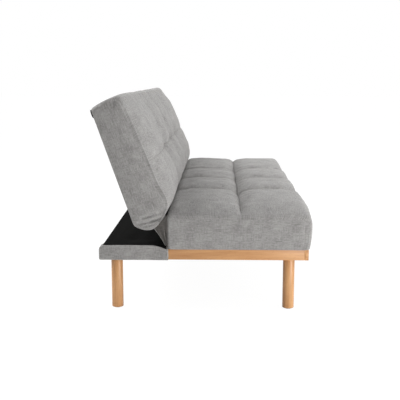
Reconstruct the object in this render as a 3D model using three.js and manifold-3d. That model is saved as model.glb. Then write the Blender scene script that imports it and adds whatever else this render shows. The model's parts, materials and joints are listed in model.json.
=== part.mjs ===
// A click-clack sofa bed. A stitched seat block sits on a low wooden frame with four round legs.
// A stitched backrest turns on two ratchet hinges behind the seat, from upright to flat.
// Millimetres. X runs along the sofa, the front faces -Y, Z is up.
// The origin is on the floor, under the middle of the sofa's outline.
import * as THREE from "three";
import { mergeVertices } from "three/addons/utils/BufferGeometryUtils.js";
import Module from "manifold-3d";

const wasm = await Module();
wasm.setup();

// Overall sizes
const LENGTH = 1800;
const LEG_HEIGHT = 205; // from the floor to the underside of the rails
const SEAT_DEPTH = 567.5; // front to rear of the seat block
const REAR_FRAME_DEPTH = 269; // from the seat block to the rear ends of the arms
const RECLINE = 19.3; // degrees that the upright backrest leans back
const SEAM_SPACING = 365; // between the three stitched cross seams

// Clearances
const FIT = 0.3; // between pieces that touch
const RUNNING = 0.6; // beside pieces that turn past each other
const PIN_PLAY = 0.15; // round a pin in its hole
const OVERRUN = 40; // how far a cutting tool runs past what it cuts
const SAME_POINT = 0.001; // corners closer than this are one corner

// Wooden front frame
const RAIL_HEIGHT = 41.5;
const SIDE_RAIL_THICK = 22;
const FRONT_RAIL_THICK = 16.5;
const RAIL_INSET = 5; // from the ends of the seat block to the side rails
const RAIL_REAR_INSET = 6.5; // from the seat's rear to the side rails' rear ends
const FRONT_RAIL_INSET = 13; // from the seat's front to the front rail
const RAIL_EDGE = 1.5; // eased edges
const CROSS_RAIL_THICK = 38;
const BEARER_WIDTH = 45;
const BEARER_PLACE_SHARE = 0.33; // of half the length
const BEARER_DROP = 6; // how far the bearers stop above the rails' underside

// Padded rear frame
const REAR_RAIL_HEIGHT = 61;
const REAR_RAIL_WIDTH = 38;
const REAR_INSET = 3;
const REAR_DROP = 3.5; // the padded frame hangs below the wooden rails
const BEAM_INSET = 18; // from the arms' rear ends to the beam between them
const COVER_THICK = 2.4;
const COVER_EDGE = 2; // rounded long edges
const ARM_ROUND = 24; // the arm's top rear corner
const ARM_HEEL = 8; // the arm's lower rear corner
const COVER_HEM = 11; // how far the beam's cover is folded under
const LINING_THICK = 1.6;
const LINING_SIDE_BORDER = 3;

// Legs and what holds them
const LEG_RADIUS = 23;
const LEG_EDGE = 1.2;
const LEG_INBOARD = 6; // from the rear arm's inner face to the leg's axis, clear of its bolt
const FRONT_LEG_SETBACK = 86; // from the seat's front to the leg's axis
const REAR_LEG_FORWARD = 10.5; // from the rear beam's inner face to the leg's axis
const GLIDE_HEIGHT = 2;
const GLIDE_RADIUS = 17;
const BOLT_RADIUS = 4;
const BOLT_LENGTH = 62;
const BOLT_HOLE_DEPTH = 34; // into the leg
const BLOCK_REACH = 92; // corner block, along both rails
const BLOCK_CHAMFER = 38;

// Seat block
const SEAT_END_HEIGHT = 134; // at the stitched ends
const SEAT_CROWN_HEIGHT = 173; // in the middle of each cell
const SEAT_SEAM_DEPTH = 13; // how far the seams lie below the cells
const SEAT_EDGE_SEAM_DEPTH = 29; // where the cross seams meet the front and rear edges
const SEAT_FRONT_TUCK = 9; // the front face's foot behind its fullest point
const SEAT_FRONT_ROUND = 42;
const SEAT_REAR_ROUND = 28;
const SEAT_SEAM_FROM_REAR = 289.5; // the seam that runs along the seat
const SEAT_REAR_SHOULDER_SHARE = 0.66; // of the crown that is left at the rear edge

// Backrest block, measured up its flat rear face and forward from it
const BACK_LENGTH = 483;
const BACK_TOP_RISE = 14; // the top's fullest point above the rear face's top, at the ends
const BACK_TOP_PUFF = 7; // how much higher the top stands away from the ends
const BACK_TOP_THICK = 124;
const BACK_TOP_ROUND = 30;
const BACK_END_THICK = 139; // at the stitched ends
const BACK_CROWN_THICK = 186; // in the middle of each cell
const BACK_SEAM_DEPTH = 13;
const BACK_EDGE_SEAM_DEPTH = 22;
const BACK_SEAM_UP = 228; // the seam that runs along the backrest
const BACK_BELLY_UP = 77; // height of the fullest point
const BACK_BELLY_THICK = 152;
const BACK_CHIN_THICK = 103; // the underside's front corner
const BACK_CHIN_DROP = 17;
const BACK_BULGE_DROP = 34; // the padded underside hangs below the rear face
const BACK_TOP_SHOULDER_SHARE = 0.5;
const BACK_CHIN_SHOULDER_SHARE = 0.05;

// Both padded blocks
const END_ROUND = 24;
const SEAM_SLOPE = 34; // how far the cloth takes to rise beside a seam
const TUFT_DEPTH = 7; // extra pull where two seams cross
const TUFT_REACH = 90; // how far along the sofa a tuft deepens the long seam
const LONG_SEAM_SHARE = 0.4; // of a seam's depth, left in the long seam between tufts
const SIDE_DRAW = 5; // how far the seams draw in the long sides
const STATION_SHARES = [0, 0.07, 0.2, 0.5, 0.8, 0.93]; // places of the rings from seam to seam
const SEAM_SIDE_SHARES = [0, 0.22, 0.48, 0.7, 0.86, 0.95]; // places of the points towards a seam
const END_STEPS = 3; // rings round each end's rounded edge
const END_SLOPE = 150; // how far from an end the padding reaches its full height
const END_CAVITY_WALL = 30; // padding outside the frames at each end
const LONG_CAVITY_WALL = 21;
const SPRING_ROOM = 7; // free above the springs inside each block

// Wooden frames inside the two blocks
const FRAME_THICK = 20;
const SEAT_FRAME_HEIGHT = 86;
const BACK_FRAME_DEPTH = 46;
const DUST_COVER_THICK = 1.5;
const REAR_PANEL_THICK = 3;
const SPRING_WIRE = 1.9; // radius
const SPRING_SWING = 22; // half the width of a zigzag spring
const SPRING_PITCH = 46; // length of one whole wave
const SPRING_REST = 8; // how much of each rail's edge a spring lies on
const SEAT_SPRING_SHARES = [-0.72, -0.24, 0.24, 0.72]; // of half the length
const BACK_SPRING_SHARES = [-0.6, 0, 0.6];

// Ratchet hinges
const PIVOT_BEHIND_SEAT = 35.3;
const PIVOT_UP = -9; // from the foot of the backrest's rear face, up that face
const PIVOT_FORWARD = 93.6; // from the rear face
const PLATE_THICK = 4;
const PLATE_BOSS = 16; // radius round the pivot
const PLATE_BAR = 40; // height of the plate on the seat frame
const PLATE_BAR_LENGTH = 92;
const PIN_RADIUS = 5;
const PIN_HEAD_RADIUS = 8.5;
const PIN_HEAD_THICK = 3;
const SECTOR_RADIUS = 33;
const NOTCH_DEPTH = 6.5;
const NOTCH_WIDTH = 15; // degrees
const NOTCH_FLOOR_SHARE = 0.72; // of the notch's width
const RIM_STEP = 12; // degrees between points on the sector's rim
const LOUNGE_ANGLE = 35; // degrees from upright to the middle notch
const FORWARD_PLAY = 4; // degrees that the first notch lets the backrest fold forward
const ARM_WIDTH = 34;
const ARM_LENGTH = 118;
const ARM_FROM_REAR = 27; // the arm's middle line, forward of the rear face
const PAWL_REACH = 34; // from the pawl's pivot to its nose
const PAWL_LIFT = 0.8; // between the lifted nose and the sector
const PAWL_BOSS = 7;
const PAWL_NOSE = 5.5;
const NOSE_TIP_SHARE = 0.75; // of the nose's width
const PAWL_PIN = 3;
const PAWL_SIDE = 212; // degrees, the pawl's pivot as seen from the hinge's
const RIVET_RADIUS = 5;
const RIVET_RISE = 2;
const LEAF_THICK = 1.2;
const LEAF_FOOT = 9;
const SLOT_SIDE = 5; // room beside the hinge in the padding
const SLOT_ABOVE = 18;

// Cloth strip that closes the gap between seat and backrest, with a gusset at each end
const STRIP_THICK = 1.5;
const STRIP_INSET = 8;
const STRIP_TOP_OUT = 44; // behind the seat
const STRIP_TOP_BELOW_PIVOT = 41.5;
const STRIP_SAG = 6;
const GUSSET_TOP_OUT = 5; // behind the seat
const GUSSET_TOP_BELOW_PIVOT = 5;

// Places worked out from the sizes above. Y starts at the seat's front here.
const HALF = LENGTH / 2;
const SEAT_FRONT = 0;
const SEAT_REAR = SEAT_DEPTH;
const REAR_REACH = SEAT_REAR + REAR_FRAME_DEPTH;
const RAIL_TOP = LEG_HEIGHT + RAIL_HEIGHT;
const SEAT_BASE = RAIL_TOP + FIT;
const REAR_BASE = LEG_HEIGHT - REAR_DROP;
const REAR_TOP = REAR_BASE + REAR_RAIL_HEIGHT;
const RAIL_END = HALF - RAIL_INSET;
const RAIL_REAR = SEAT_REAR - RAIL_REAR_INSET;
const RAIL_INNER = RAIL_END - SIDE_RAIL_THICK;
const FRONT_RAIL_Y = SEAT_FRONT + FRONT_RAIL_INSET;
const SIDE_RAIL_Y = FRONT_RAIL_Y + FRONT_RAIL_THICK + FIT;
const REAR_FRONT = SEAT_REAR + FIT;
const BEAM_REAR = REAR_REACH - BEAM_INSET;
const REAR_INNER = BEAM_REAR - REAR_RAIL_WIDTH;
const REAR_END = HALF - REAR_INSET;
const ARM_INNER = REAR_END - REAR_RAIL_WIDTH;
const SKIN = COVER_THICK + FIT; // from a cover's face to the wood under it
const LINING_TOP = REAR_TOP + FIT + LINING_THICK;
const CAVITY_END = HALF - END_CAVITY_WALL;
const CAVITY_FRONT = SEAT_FRONT + LONG_CAVITY_WALL + RAIL_INSET;
const CAVITY_REAR = SEAT_REAR - LONG_CAVITY_WALL;
const PIVOT_Y = SEAT_REAR + PIVOT_BEHIND_SEAT;
const PIVOT_Z = LINING_TOP + FIT + PIVOT_FORWARD; // flat, the rear face lies on the lining
const NOTCH_ANGLES = [0, LOUNGE_ANGLE, 90 - RECLINE]; // upright, lounging and flat
const TILT = THREE.MathUtils.degToRad(90 - RECLINE);
const SEAT_FRAME_BASE = DUST_COVER_THICK + FIT;
const BACK_FRAME_BASE = REAR_PANEL_THICK + FIT;
const OVER_SPRINGS = FIT + 2 * SPRING_WIRE + SPRING_ROOM;
const SEAT_CAVITY_DEPTH = SEAT_FRAME_BASE + SEAT_FRAME_HEIGHT + OVER_SPRINGS;
const BACK_CAVITY_DEPTH = BACK_FRAME_BASE + BACK_FRAME_DEPTH + OVER_SPRINGS;
const FRAME_END = CAVITY_END - SLOT_SIDE - 2 * PLATE_THICK - FIT; // outer face of the seat frame
const PLATE_X = FRAME_END + FIT;
const ARM_X = PLATE_X + PLATE_THICK + FIT;
const PLATE_TOP = SEAT_BASE + SEAT_FRAME_BASE + SEAT_FRAME_HEIGHT - RIVET_RADIUS;
const PLATE_LOW = PLATE_TOP - PLATE_BAR;
const HINGE_ROOM_X = [FRAME_END - PIN_HEAD_THICK - FIT - SLOT_SIDE / 2, CAVITY_END];
const PAWL_ARC = SECTOR_RADIUS + PAWL_LIFT;
const SIDES = [["left", -1], ["right", 1]];

// Materials
function finish(color, roughness, metalness = 0) {
  return new THREE.MeshStandardMaterial({ color, roughness, metalness });
}
const finishes = {
  cloth: () => finish(0x99958f, 0.95),
  wood: () => finish(0xd4a070, 0.55),
  leg: () => finish(0xbe8f67, 0.5),
  softwood: () => finish(0xcdb48a, 0.8),
  lining: () => finish(0x151513, 0.95),
  steel: () => finish(0x8b8d90, 0.4, 0.9),
  spring: () => finish(0x55585c, 0.45, 0.8),
  felt: () => finish(0x2b2b2a, 0.95),
};

// Solids
function solidOf(geometry) {
  const bare = geometry.clone();
  bare.deleteAttribute("normal");
  bare.deleteAttribute("uv");
  const merged = mergeVertices(bare, SAME_POINT);
  return new wasm.Manifold(
    new wasm.Mesh({
      numProp: 3,
      vertProperties: merged.attributes.position.array,
      triVerts: new Uint32Array(merged.index.array),
    }),
  );
}

function geometryOf(solid) {
  const mesh = solid.getMesh();
  const geometry = new THREE.BufferGeometry();
  geometry.setAttribute("position", new THREE.BufferAttribute(mesh.vertProperties, 3));
  geometry.setIndex(new THREE.BufferAttribute(mesh.triVerts, 1));
  geometry.computeVertexNormals();
  return geometry;
}

function cut(geometry, ...tools) {
  return geometryOf(tools.reduce((left, tool) => left.subtract(solidOf(tool)), solidOf(geometry)));
}

function join(geometry, ...more) {
  return geometryOf(more.reduce((sum, piece) => sum.add(solidOf(piece)), solidOf(geometry)));
}

function box([x0, x1], [y0, y1], [z0, z1]) {
  const geometry = new THREE.BoxGeometry(x1 - x0, y1 - y0, z1 - z0);
  return geometry.translate((x0 + x1) / 2, (y0 + y1) / 2, (z0 + z1) / 2);
}

// A board with eased edges, its long way along X or Y.
function board([x0, x1], [y0, y1], [z0, z1], edge) {
  const alongX = x1 - x0 > y1 - y0;
  const width = alongX ? y1 - y0 : x1 - x0;
  const length = alongX ? x1 - x0 : y1 - y0;
  const profile = roundedRectangle(width, z1 - z0, edge);
  const geometry = new THREE.ExtrudeGeometry(profile, {
    depth: length, bevelEnabled: false, curveSegments: 3,
  });
  geometry.translate(0, 0, -length / 2);
  if (alongX) geometry.applyMatrix4(YZ_TO_X);
  else geometry.applyMatrix4(XZ_TO_Y);
  return geometry.translate((x0 + x1) / 2, (y0 + y1) / 2, (z0 + z1) / 2);
}

// Turns a shape drawn in x and y, and extruded along z, into one drawn in YZ or XZ.
const YZ_TO_X = new THREE.Matrix4().makeBasis(
  new THREE.Vector3(0, 1, 0), new THREE.Vector3(0, 0, 1), new THREE.Vector3(1, 0, 0),
);
const XZ_TO_Y = new THREE.Matrix4().makeBasis(
  new THREE.Vector3(1, 0, 0), new THREE.Vector3(0, 0, 1), new THREE.Vector3(0, -1, 0),
);

function roundedRectangle(width, height, radius) {
  const x = width / 2;
  const y = height / 2;
  const shape = new THREE.Shape();
  shape.moveTo(-x + radius, -y);
  shape.lineTo(x - radius, -y);
  shape.absarc(x - radius, -y + radius, radius, -Math.PI / 2, 0);
  shape.lineTo(x, y - radius);
  shape.absarc(x - radius, y - radius, radius, 0, Math.PI / 2);
  shape.lineTo(-x + radius, y);
  shape.absarc(-x + radius, y - radius, radius, Math.PI / 2, Math.PI);
  shape.lineTo(-x, -y + radius);
  shape.absarc(-x + radius, -y + radius, radius, Math.PI, Math.PI * 1.5);
  return shape;
}

// A flat plate drawn in Y and Z, between two places along X.
function plate(shape, x0, x1, curveSegments = 8) {
  const geometry = new THREE.ExtrudeGeometry(shape, {
    depth: x1 - x0, bevelEnabled: false, curveSegments,
  });
  return geometry.applyMatrix4(YZ_TO_X).translate(x0, 0, 0);
}

function turned(profile, segments = 24) {
  const points = profile.map(([radius, height]) => new THREE.Vector2(radius, height));
  return new THREE.LatheGeometry(points, segments).rotateX(Math.PI / 2);
}

// A round bar along X.
function barX(radius, x0, x1, y, z, segments = 20) {
  const geometry = new THREE.CylinderGeometry(radius, radius, x1 - x0, segments);
  return geometry.rotateZ(Math.PI / 2).translate((x0 + x1) / 2, y, z);
}

function mesh(name, geometry, material) {
  const piece = new THREE.Mesh(geometry, material);
  piece.name = name;
  return piece;
}

// The same shape on the other end of the sofa, with its faces still pointing out.
function mirrored(geometry, sign) {
  if (sign > 0) return geometry;
  const copy = geometry.index ? geometry.toNonIndexed() : geometry.clone();
  copy.scale(-1, 1, 1);
  const positions = copy.attributes.position;
  const corner = new THREE.Vector3();
  const other = new THREE.Vector3();
  for (let i = 0; i < positions.count; i += 3) {
    corner.fromBufferAttribute(positions, i + 1);
    other.fromBufferAttribute(positions, i + 2);
    positions.setXYZ(i + 1, ...other);
    positions.setXYZ(i + 2, ...corner);
  }
  copy.computeVertexNormals();
  return copy;
}

// Padded blocks: a section drawn in depth p and height q, swept along X.
// Seams pull the show face down, and the cells between them puff up.
function along(from, to, shares) {
  return shares.map((share) => new THREE.Vector2().lerpVectors(from, to, share));
}

function bend(from, corner, to, steps) {
  return new THREE.QuadraticBezierCurve(from, corner, to).getPoints(steps).slice(0, -1);
}

function even(steps) {
  return Array.from({ length: steps }, (_, i) => i / steps);
}

const seamPull = (distance) => Math.exp(-Math.abs(distance) / SEAM_SLOPE);

function paddedBlock({ loop, longSeam, endHeight, crownHeight, seamDepths, topPuff, shoulders }) {
  const columns = [-SEAM_SPACING, 0, SEAM_SPACING];
  const lines = [-HALF + END_ROUND, ...columns, HALF - END_ROUND];
  const stations = [];
  lines.slice(0, -1).forEach((from, span) => {
    const width = lines[span + 1] - from;
    for (const share of STATION_SHARES) stations.push([from + width * share, 0]);
  });
  stations.push([lines[lines.length - 1], 0]);
  for (let step = 1; step <= END_STEPS; step++) {
    const angle = ((step / END_STEPS) * Math.PI) / 2;
    const out = HALF - END_ROUND + END_ROUND * Math.sin(angle);
    const tuck = END_ROUND * (1 - Math.cos(angle));
    stations.push([out, tuck]);
    stations.unshift([-out, tuck]);
  }
  const depths = loop.map((point) => point.x);
  const low = Math.min(...depths);
  const high = Math.max(...depths);
  const middle = (low + high) / 2;
  const [seamDepth, edgeSeamDepth] = seamDepths;
  const rings = stations.map(([x, tuck]) => {
    const fromEnd = Math.min((HALF - Math.abs(x)) / END_SLOPE, 1);
    const ease = 1 - (1 - fromEnd) ** 2;
    const across = Math.max(...columns.map((column) => seamPull(x - column)));
    const tied = Math.max(...columns.map((column) => Math.exp(-(((x - column) / TUFT_REACH) ** 2))));
    const longDepth = seamDepth * (LONG_SEAM_SHARE + (1 - LONG_SEAM_SHARE) * tied);
    return loop.map(({ x: p, y: q }) => {
      const rise = Math.min(q / endHeight, 1);
      const lengthwise = seamPull(p - longSeam);
      const reach = (p - longSeam) / (p > longSeam ? high - longSeam : longSeam - low);
      const crossDepth = seamDepth + (edgeSeamDepth - seamDepth) * reach ** 2;
      const pull =
        across * (crossDepth + lengthwise * TUFT_DEPTH) + (1 - across) * lengthwise * longDepth;
      const lift = (crownHeight - endHeight - pull) * ease * shoulders(p);
      const draw = SIDE_DRAW * across * rise;
      const narrow = 1 - (2 * (tuck + draw)) / (high - low);
      const upward = topPuff * ease * smooth(reach) * rise;
      return [
        x,
        middle + (p - middle) * narrow + upward,
        q * (1 - tuck / endHeight) + lift * rise ** 2,
      ];
    });
  });
  return sweptRings(rings);
}

// A closed surface through equal rings, with a flat cap at each end.
function sweptRings(rings) {
  const count = rings[0].length;
  const index = [];
  for (let r = 0; r + 1 < rings.length; r++) {
    for (let i = 0; i < count; i++) {
      const a = r * count + i;
      const b = r * count + ((i + 1) % count);
      index.push(a, b, b + count, a, b + count, a + count);
    }
  }
  const capOf = (ring) =>
    THREE.ShapeUtils.triangulateShape(ring.map(([, p, q]) => new THREE.Vector2(p, q)), []);
  for (const [a, b, c] of capOf(rings[0])) index.push(a, c, b);
  const last = (rings.length - 1) * count;
  for (const [a, b, c] of capOf(rings[rings.length - 1])) index.push(last + a, last + b, last + c);
  const geometry = new THREE.BufferGeometry();
  geometry.setAttribute("position", new THREE.Float32BufferAttribute(rings.flat(2), 3));
  geometry.setIndex(index);
  geometry.computeVertexNormals();
  return geometry;
}

const point = (x, y) => new THREE.Vector2(x, y);

// The seat block's section, from its front foot round by the rear.
function seatLoop() {
  const top = SEAT_END_HEIGHT;
  const seam = point(SEAT_REAR - SEAT_SEAM_FROM_REAR, top);
  const foot = point(SEAT_FRONT + SEAT_FRONT_TUCK, 0);
  const heel = point(SEAT_REAR, 0);
  const rearShoulder = point(SEAT_REAR, top - SEAT_REAR_ROUND);
  const rearTop = point(SEAT_REAR - SEAT_REAR_ROUND, top);
  const frontTop = point(SEAT_FRONT + SEAT_FRONT_ROUND, top);
  const frontShoulder = point(SEAT_FRONT, top - SEAT_FRONT_ROUND);
  return [
    ...along(foot, heel, even(3)),
    ...along(heel, rearShoulder, even(2)),
    ...bend(rearShoulder, point(SEAT_REAR, top), rearTop, 4),
    ...along(rearTop, seam, SEAM_SIDE_SHARES),
    ...along(frontTop, seam, SEAM_SIDE_SHARES.slice(1)).concat(seam).reverse(),
    ...bend(frontTop, point(SEAT_FRONT, top), frontShoulder, 4),
    ...bend(frontShoulder, point(SEAT_FRONT, top / 3), foot, 3),
  ];
}

function smooth(value) {
  const t = THREE.MathUtils.clamp(value, 0, 1);
  return t * t * (3 - 2 * t);
}

function seatShoulders(p) {
  const share = smooth((SEAT_REAR - p) / (2 * SEAT_REAR_ROUND));
  return SEAT_REAR_SHOULDER_SHARE + (1 - SEAT_REAR_SHOULDER_SHARE) * share;
}

// The backrest's section: up its flat rear face, over the top, down the front and under.
function backLoop() {
  const foot = point(0, 0);
  const head = point(BACK_LENGTH, 0);
  const crest = BACK_LENGTH + BACK_TOP_RISE;
  const topRear = point(crest, BACK_TOP_THICK - BACK_TOP_ROUND);
  const topFront = point(crest - BACK_TOP_ROUND, BACK_TOP_THICK);
  const seam = point(BACK_SEAM_UP, BACK_END_THICK);
  const belly = point(BACK_BELLY_UP, BACK_BELLY_THICK);
  const chin = point(-BACK_CHIN_DROP, BACK_CHIN_THICK);
  const upper = new THREE.QuadraticBezierCurve(
    seam, point((seam.x + topFront.x) / 2, BACK_END_THICK - BACK_TOP_RISE / 3), topFront,
  );
  const lower = new THREE.QuadraticBezierCurve(
    seam, point((seam.x + belly.x) / 2, BACK_END_THICK), belly,
  );
  return [
    ...along(foot, head, even(3)),
    ...bend(head, point(crest, BACK_TOP_THICK / 3), topRear, 3),
    ...bend(topRear, point(crest, BACK_TOP_THICK), topFront, 3),
    ...SEAM_SIDE_SHARES.map((share) => upper.getPoint(1 - share)),
    ...[1, ...SEAM_SIDE_SHARES.slice(1).reverse()].map((share) => lower.getPoint(1 - share)),
    ...bend(belly, point(BACK_BELLY_UP / 4, BACK_BELLY_THICK), chin, 6),
    ...bend(chin, point(BACK_CHIN_DROP / 2 - 2 * BACK_BULGE_DROP, chin.y / 2), foot, 5),
  ];
}

function backShoulders(p) {
  const top = smooth((BACK_LENGTH + BACK_TOP_RISE - p) / (4 * BACK_TOP_ROUND));
  const chin = smooth((p + BACK_CHIN_DROP) / (2 * BACK_BELLY_UP));
  return (
    (BACK_TOP_SHOULDER_SHARE + (1 - BACK_TOP_SHOULDER_SHARE) * top) *
    (BACK_CHIN_SHOULDER_SHARE + (1 - BACK_CHIN_SHOULDER_SHARE) * chin)
  );
}

// Wooden front frame, cross rail and bearers
function baseFrame() {
  const group = new THREE.Group();
  const high = [LEG_HEIGHT, RAIL_TOP];
  const frontRail = board(
    [-RAIL_END, RAIL_END], [FRONT_RAIL_Y, FRONT_RAIL_Y + FRONT_RAIL_THICK], high, RAIL_EDGE,
  );
  group.add(mesh("front_rail", frontRail, finishes.wood()));
  for (const [side, sign] of SIDES) {
    const rail = board([RAIL_INNER, RAIL_END], [SIDE_RAIL_Y, RAIL_REAR], high, RAIL_EDGE);
    group.add(mesh(`side_rail_${side}`, mirrored(rail, sign), finishes.wood()));
  }
  const crossFront = RAIL_REAR - CROSS_RAIL_THICK;
  const inner = RAIL_INNER - FIT;
  const cross = box([-inner, inner], [crossFront, RAIL_REAR], high);
  group.add(mesh("cross_rail", cross, finishes.softwood()));
  const bearerX = HALF * BEARER_PLACE_SHARE;
  for (const [side, sign] of SIDES) {
    const bearer = box(
      [sign * bearerX - BEARER_WIDTH / 2, sign * bearerX + BEARER_WIDTH / 2],
      [SIDE_RAIL_Y, crossFront - FIT],
      [LEG_HEIGHT + BEARER_DROP, RAIL_TOP],
    );
    group.add(mesh(`seat_bearer_${side}`, bearer, finishes.softwood()));
  }
  return group;
}

// Rear frame: wooden cores in cloth covers, with the black lining stretched over the top.
// The arms and the middle bearer run under the seat block's rear edge, up to the wooden rails.
function rearFrame() {
  const group = new THREE.Group();
  const underSeat = box(
    [-HALF, HALF], [RAIL_REAR, REAR_FRONT], [RAIL_TOP, REAR_TOP + OVERRUN],
  );
  for (const [side, sign] of SIDES) {
    const core = cut(armSolid(SKIN, ARM_INNER + SKIN, REAR_END - SKIN), underSeat);
    group.add(mesh(`rear_arm_${side}`, mirrored(core, sign), finishes.softwood()));
    const cover = cut(
      armSolid(0, ARM_INNER, REAR_END),
      armSolid(COVER_THICK, ARM_INNER + COVER_THICK, REAR_END - COVER_THICK, OVERRUN),
      underSeat,
    );
    group.add(mesh(`rear_arm_cover_${side}`, mirrored(cover, sign), finishes.cloth()));
  }
  const beamEnd = ARM_INNER - FIT;
  group.add(mesh("rear_beam", plate(beamShape(SKIN), -beamEnd, beamEnd), finishes.softwood()));
  const slot = box(
    [-beamEnd - OVERRUN, beamEnd + OVERRUN],
    [REAR_INNER + COVER_HEM, BEAM_REAR - COVER_HEM],
    [REAR_BASE - OVERRUN, REAR_BASE + SKIN],
  );
  const cover = cut(
    plate(beamShape(0), -beamEnd, beamEnd),
    plate(beamShape(COVER_THICK), -beamEnd - OVERRUN, beamEnd + OVERRUN),
    slot,
  );
  group.add(mesh("rear_beam_cover", cover, finishes.cloth()));
  const bearer = box(
    [-BEARER_WIDTH / 2, BEARER_WIDTH / 2],
    [RAIL_REAR + FIT, REAR_INNER - FIT],
    [LEG_HEIGHT + BEARER_DROP, REAR_TOP],
  );
  group.add(mesh("rear_bearer", cut(bearer, underSeat), finishes.softwood()));
  const lining = box(
    [-REAR_END + LINING_SIDE_BORDER, REAR_END - LINING_SIDE_BORDER],
    [REAR_FRONT + FIT, BEAM_REAR],
    [REAR_TOP + FIT, LINING_TOP],
  );
  group.add(mesh("rear_lining", lining, finishes.lining()));
  return group;
}

// An arm from the side, with its rear corners rounded, its faces drawn in by a skin.
function armSolid(skin, x0, x1, past = 0) {
  const front = RAIL_REAR + FIT - past;
  const rear = REAR_REACH - skin;
  const top = REAR_TOP - skin;
  const base = REAR_BASE + skin;
  const round = ARM_ROUND - skin;
  const heel = ARM_HEEL - skin;
  const shape = new THREE.Shape();
  shape.moveTo(front, base);
  shape.lineTo(rear - heel, base);
  shape.absarc(rear - heel, base + heel, heel, -Math.PI / 2, 0);
  shape.lineTo(rear, top - round);
  shape.absarc(rear - round, top - round, round, 0, Math.PI / 2);
  shape.lineTo(front, top);
  return plate(shape, x0, x1, 5);
}

// The rear beam's section with softened edges, its faces drawn in by a skin.
function beamShape(skin) {
  const width = REAR_RAIL_WIDTH - 2 * skin;
  const height = REAR_RAIL_HEIGHT - 2 * skin;
  const edge = Math.max(COVER_EDGE + COVER_THICK - skin, RAIL_EDGE);
  const centre = point(REAR_INNER + REAR_RAIL_WIDTH / 2, REAR_BASE + REAR_RAIL_HEIGHT / 2);
  const outline = roundedRectangle(width, height, edge).getPoints(3);
  return new THREE.Shape(outline.map((place) => place.add(centre)));
}

// Legs, with their glides, hanger bolts and corner blocks
function legSet() {
  const group = new THREE.Group();
  const legX = ARM_INNER - LEG_INBOARD;
  const ends = [
    ["front", SEAT_FRONT + FRONT_LEG_SETBACK, SIDE_RAIL_Y, 1, RAIL_INNER, LEG_HEIGHT],
    ["rear", REAR_INNER - REAR_LEG_FORWARD, REAR_INNER, -1, ARM_INNER, REAR_BASE],
  ];
  for (const [end, y, railFace, inward, sideFace, under] of ends) {
    const legTop = under - FIT;
    for (const [side, sign] of SIDES) {
      const tag = `${end}_${side}`;
      const place = (geometry) => geometry.translate(sign * legX, y, 0);
      const leg = turned([
        [0, GLIDE_HEIGHT + FIT],
        [LEG_RADIUS - LEG_EDGE, GLIDE_HEIGHT + FIT],
        [LEG_RADIUS, GLIDE_HEIGHT + FIT + LEG_EDGE],
        [LEG_RADIUS, legTop],
        [BOLT_RADIUS + PIN_PLAY, legTop],
        [BOLT_RADIUS + PIN_PLAY, legTop - BOLT_HOLE_DEPTH],
        [0, legTop - BOLT_HOLE_DEPTH],
      ], 32);
      group.add(mesh(`leg_${tag}`, place(leg), finishes.leg()));
      const glide = turned([
        [0, 0], [GLIDE_RADIUS, 0], [GLIDE_RADIUS, GLIDE_HEIGHT], [0, GLIDE_HEIGHT],
      ]);
      group.add(mesh(`leg_glide_${tag}`, place(glide), finishes.felt()));
      const boltFoot = legTop - BOLT_HOLE_DEPTH + FIT;
      const bolt = turned([
        [0, boltFoot], [BOLT_RADIUS, boltFoot],
        [BOLT_RADIUS, boltFoot + BOLT_LENGTH], [0, boltFoot + BOLT_LENGTH],
      ], 16);
      group.add(mesh(`leg_bolt_${tag}`, place(bolt), finishes.steel()));
      const block = cornerBlock(legX, y, railFace, inward, sideFace, under);
      group.add(mesh(`corner_block_${tag}`, mirrored(block, sign), finishes.softwood()));
    }
  }
  return group;
}

// A block in the corner between a side and a long rail, which takes a leg's bolt.
function cornerBlock(legX, legY, railFace, inward, sideFace, under) {
  const x0 = sideFace - FIT;
  const x1 = sideFace - BLOCK_REACH;
  const y0 = railFace + inward * FIT;
  const y1 = railFace + inward * BLOCK_REACH;
  const plan = new THREE.Shape();
  plan.moveTo(x0, y0);
  plan.lineTo(x1, y0);
  plan.lineTo(x1, y1 - inward * BLOCK_CHAMFER);
  plan.lineTo(x1 + BLOCK_CHAMFER, y1);
  plan.lineTo(x0, y1);
  const block = new THREE.ExtrudeGeometry(plan, { depth: RAIL_HEIGHT, bevelEnabled: false });
  block.translate(0, 0, under);
  const hole = new THREE.CylinderGeometry(
    BOLT_RADIUS + PIN_PLAY, BOLT_RADIUS + PIN_PLAY, RAIL_HEIGHT + OVERRUN, 16,
  ).rotateX(Math.PI / 2).translate(legX, legY, under + RAIL_HEIGHT / 2);
  return cut(block, hole);
}

// A frame of four boards. It lies in X and p, and its boards stand along q.
function framePieces(name, [first, last], outerX, [p0, p1], [q0, q1]) {
  const inner = outerX - FRAME_THICK;
  const parts = [
    [first, box([-outerX, outerX], [p0, p0 + FRAME_THICK], [q0, q1])],
    [last, box([-outerX, outerX], [p1 - FRAME_THICK, p1], [q0, q1])],
  ];
  for (const [side, sign] of SIDES) {
    const run = [p0 + FRAME_THICK + FIT, p1 - FRAME_THICK - FIT];
    parts.push([side, mirrored(box([inner, outerX], run, [q0, q1]), sign)]);
  }
  return parts.map(([part, geometry]) => mesh(`${name}_${part}`, geometry, finishes.softwood()));
}

// A flat zigzag spring from p0 to p1 at height q.
function zigzagSpring(x, [p0, p1], q) {
  const waves = Math.max(2, Math.round((p1 - p0) / SPRING_PITCH));
  const turns = Array.from({ length: waves * 4 + 1 }, (_, i) => {
    const swing = Math.sin((i * Math.PI) / 2) * SPRING_SWING;
    return new THREE.Vector3(x + swing, p0 + ((p1 - p0) * i) / (waves * 4), q);
  });
  const path = new THREE.CatmullRomCurve3(turns);
  const wire = new THREE.Shape();
  wire.absarc(0, 0, SPRING_WIRE, 0, Math.PI * 2);
  return new THREE.ExtrudeGeometry(wire, {
    steps: waves * 6, curveSegments: 3, extrudePath: path, bevelEnabled: false,
  });
}

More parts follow.
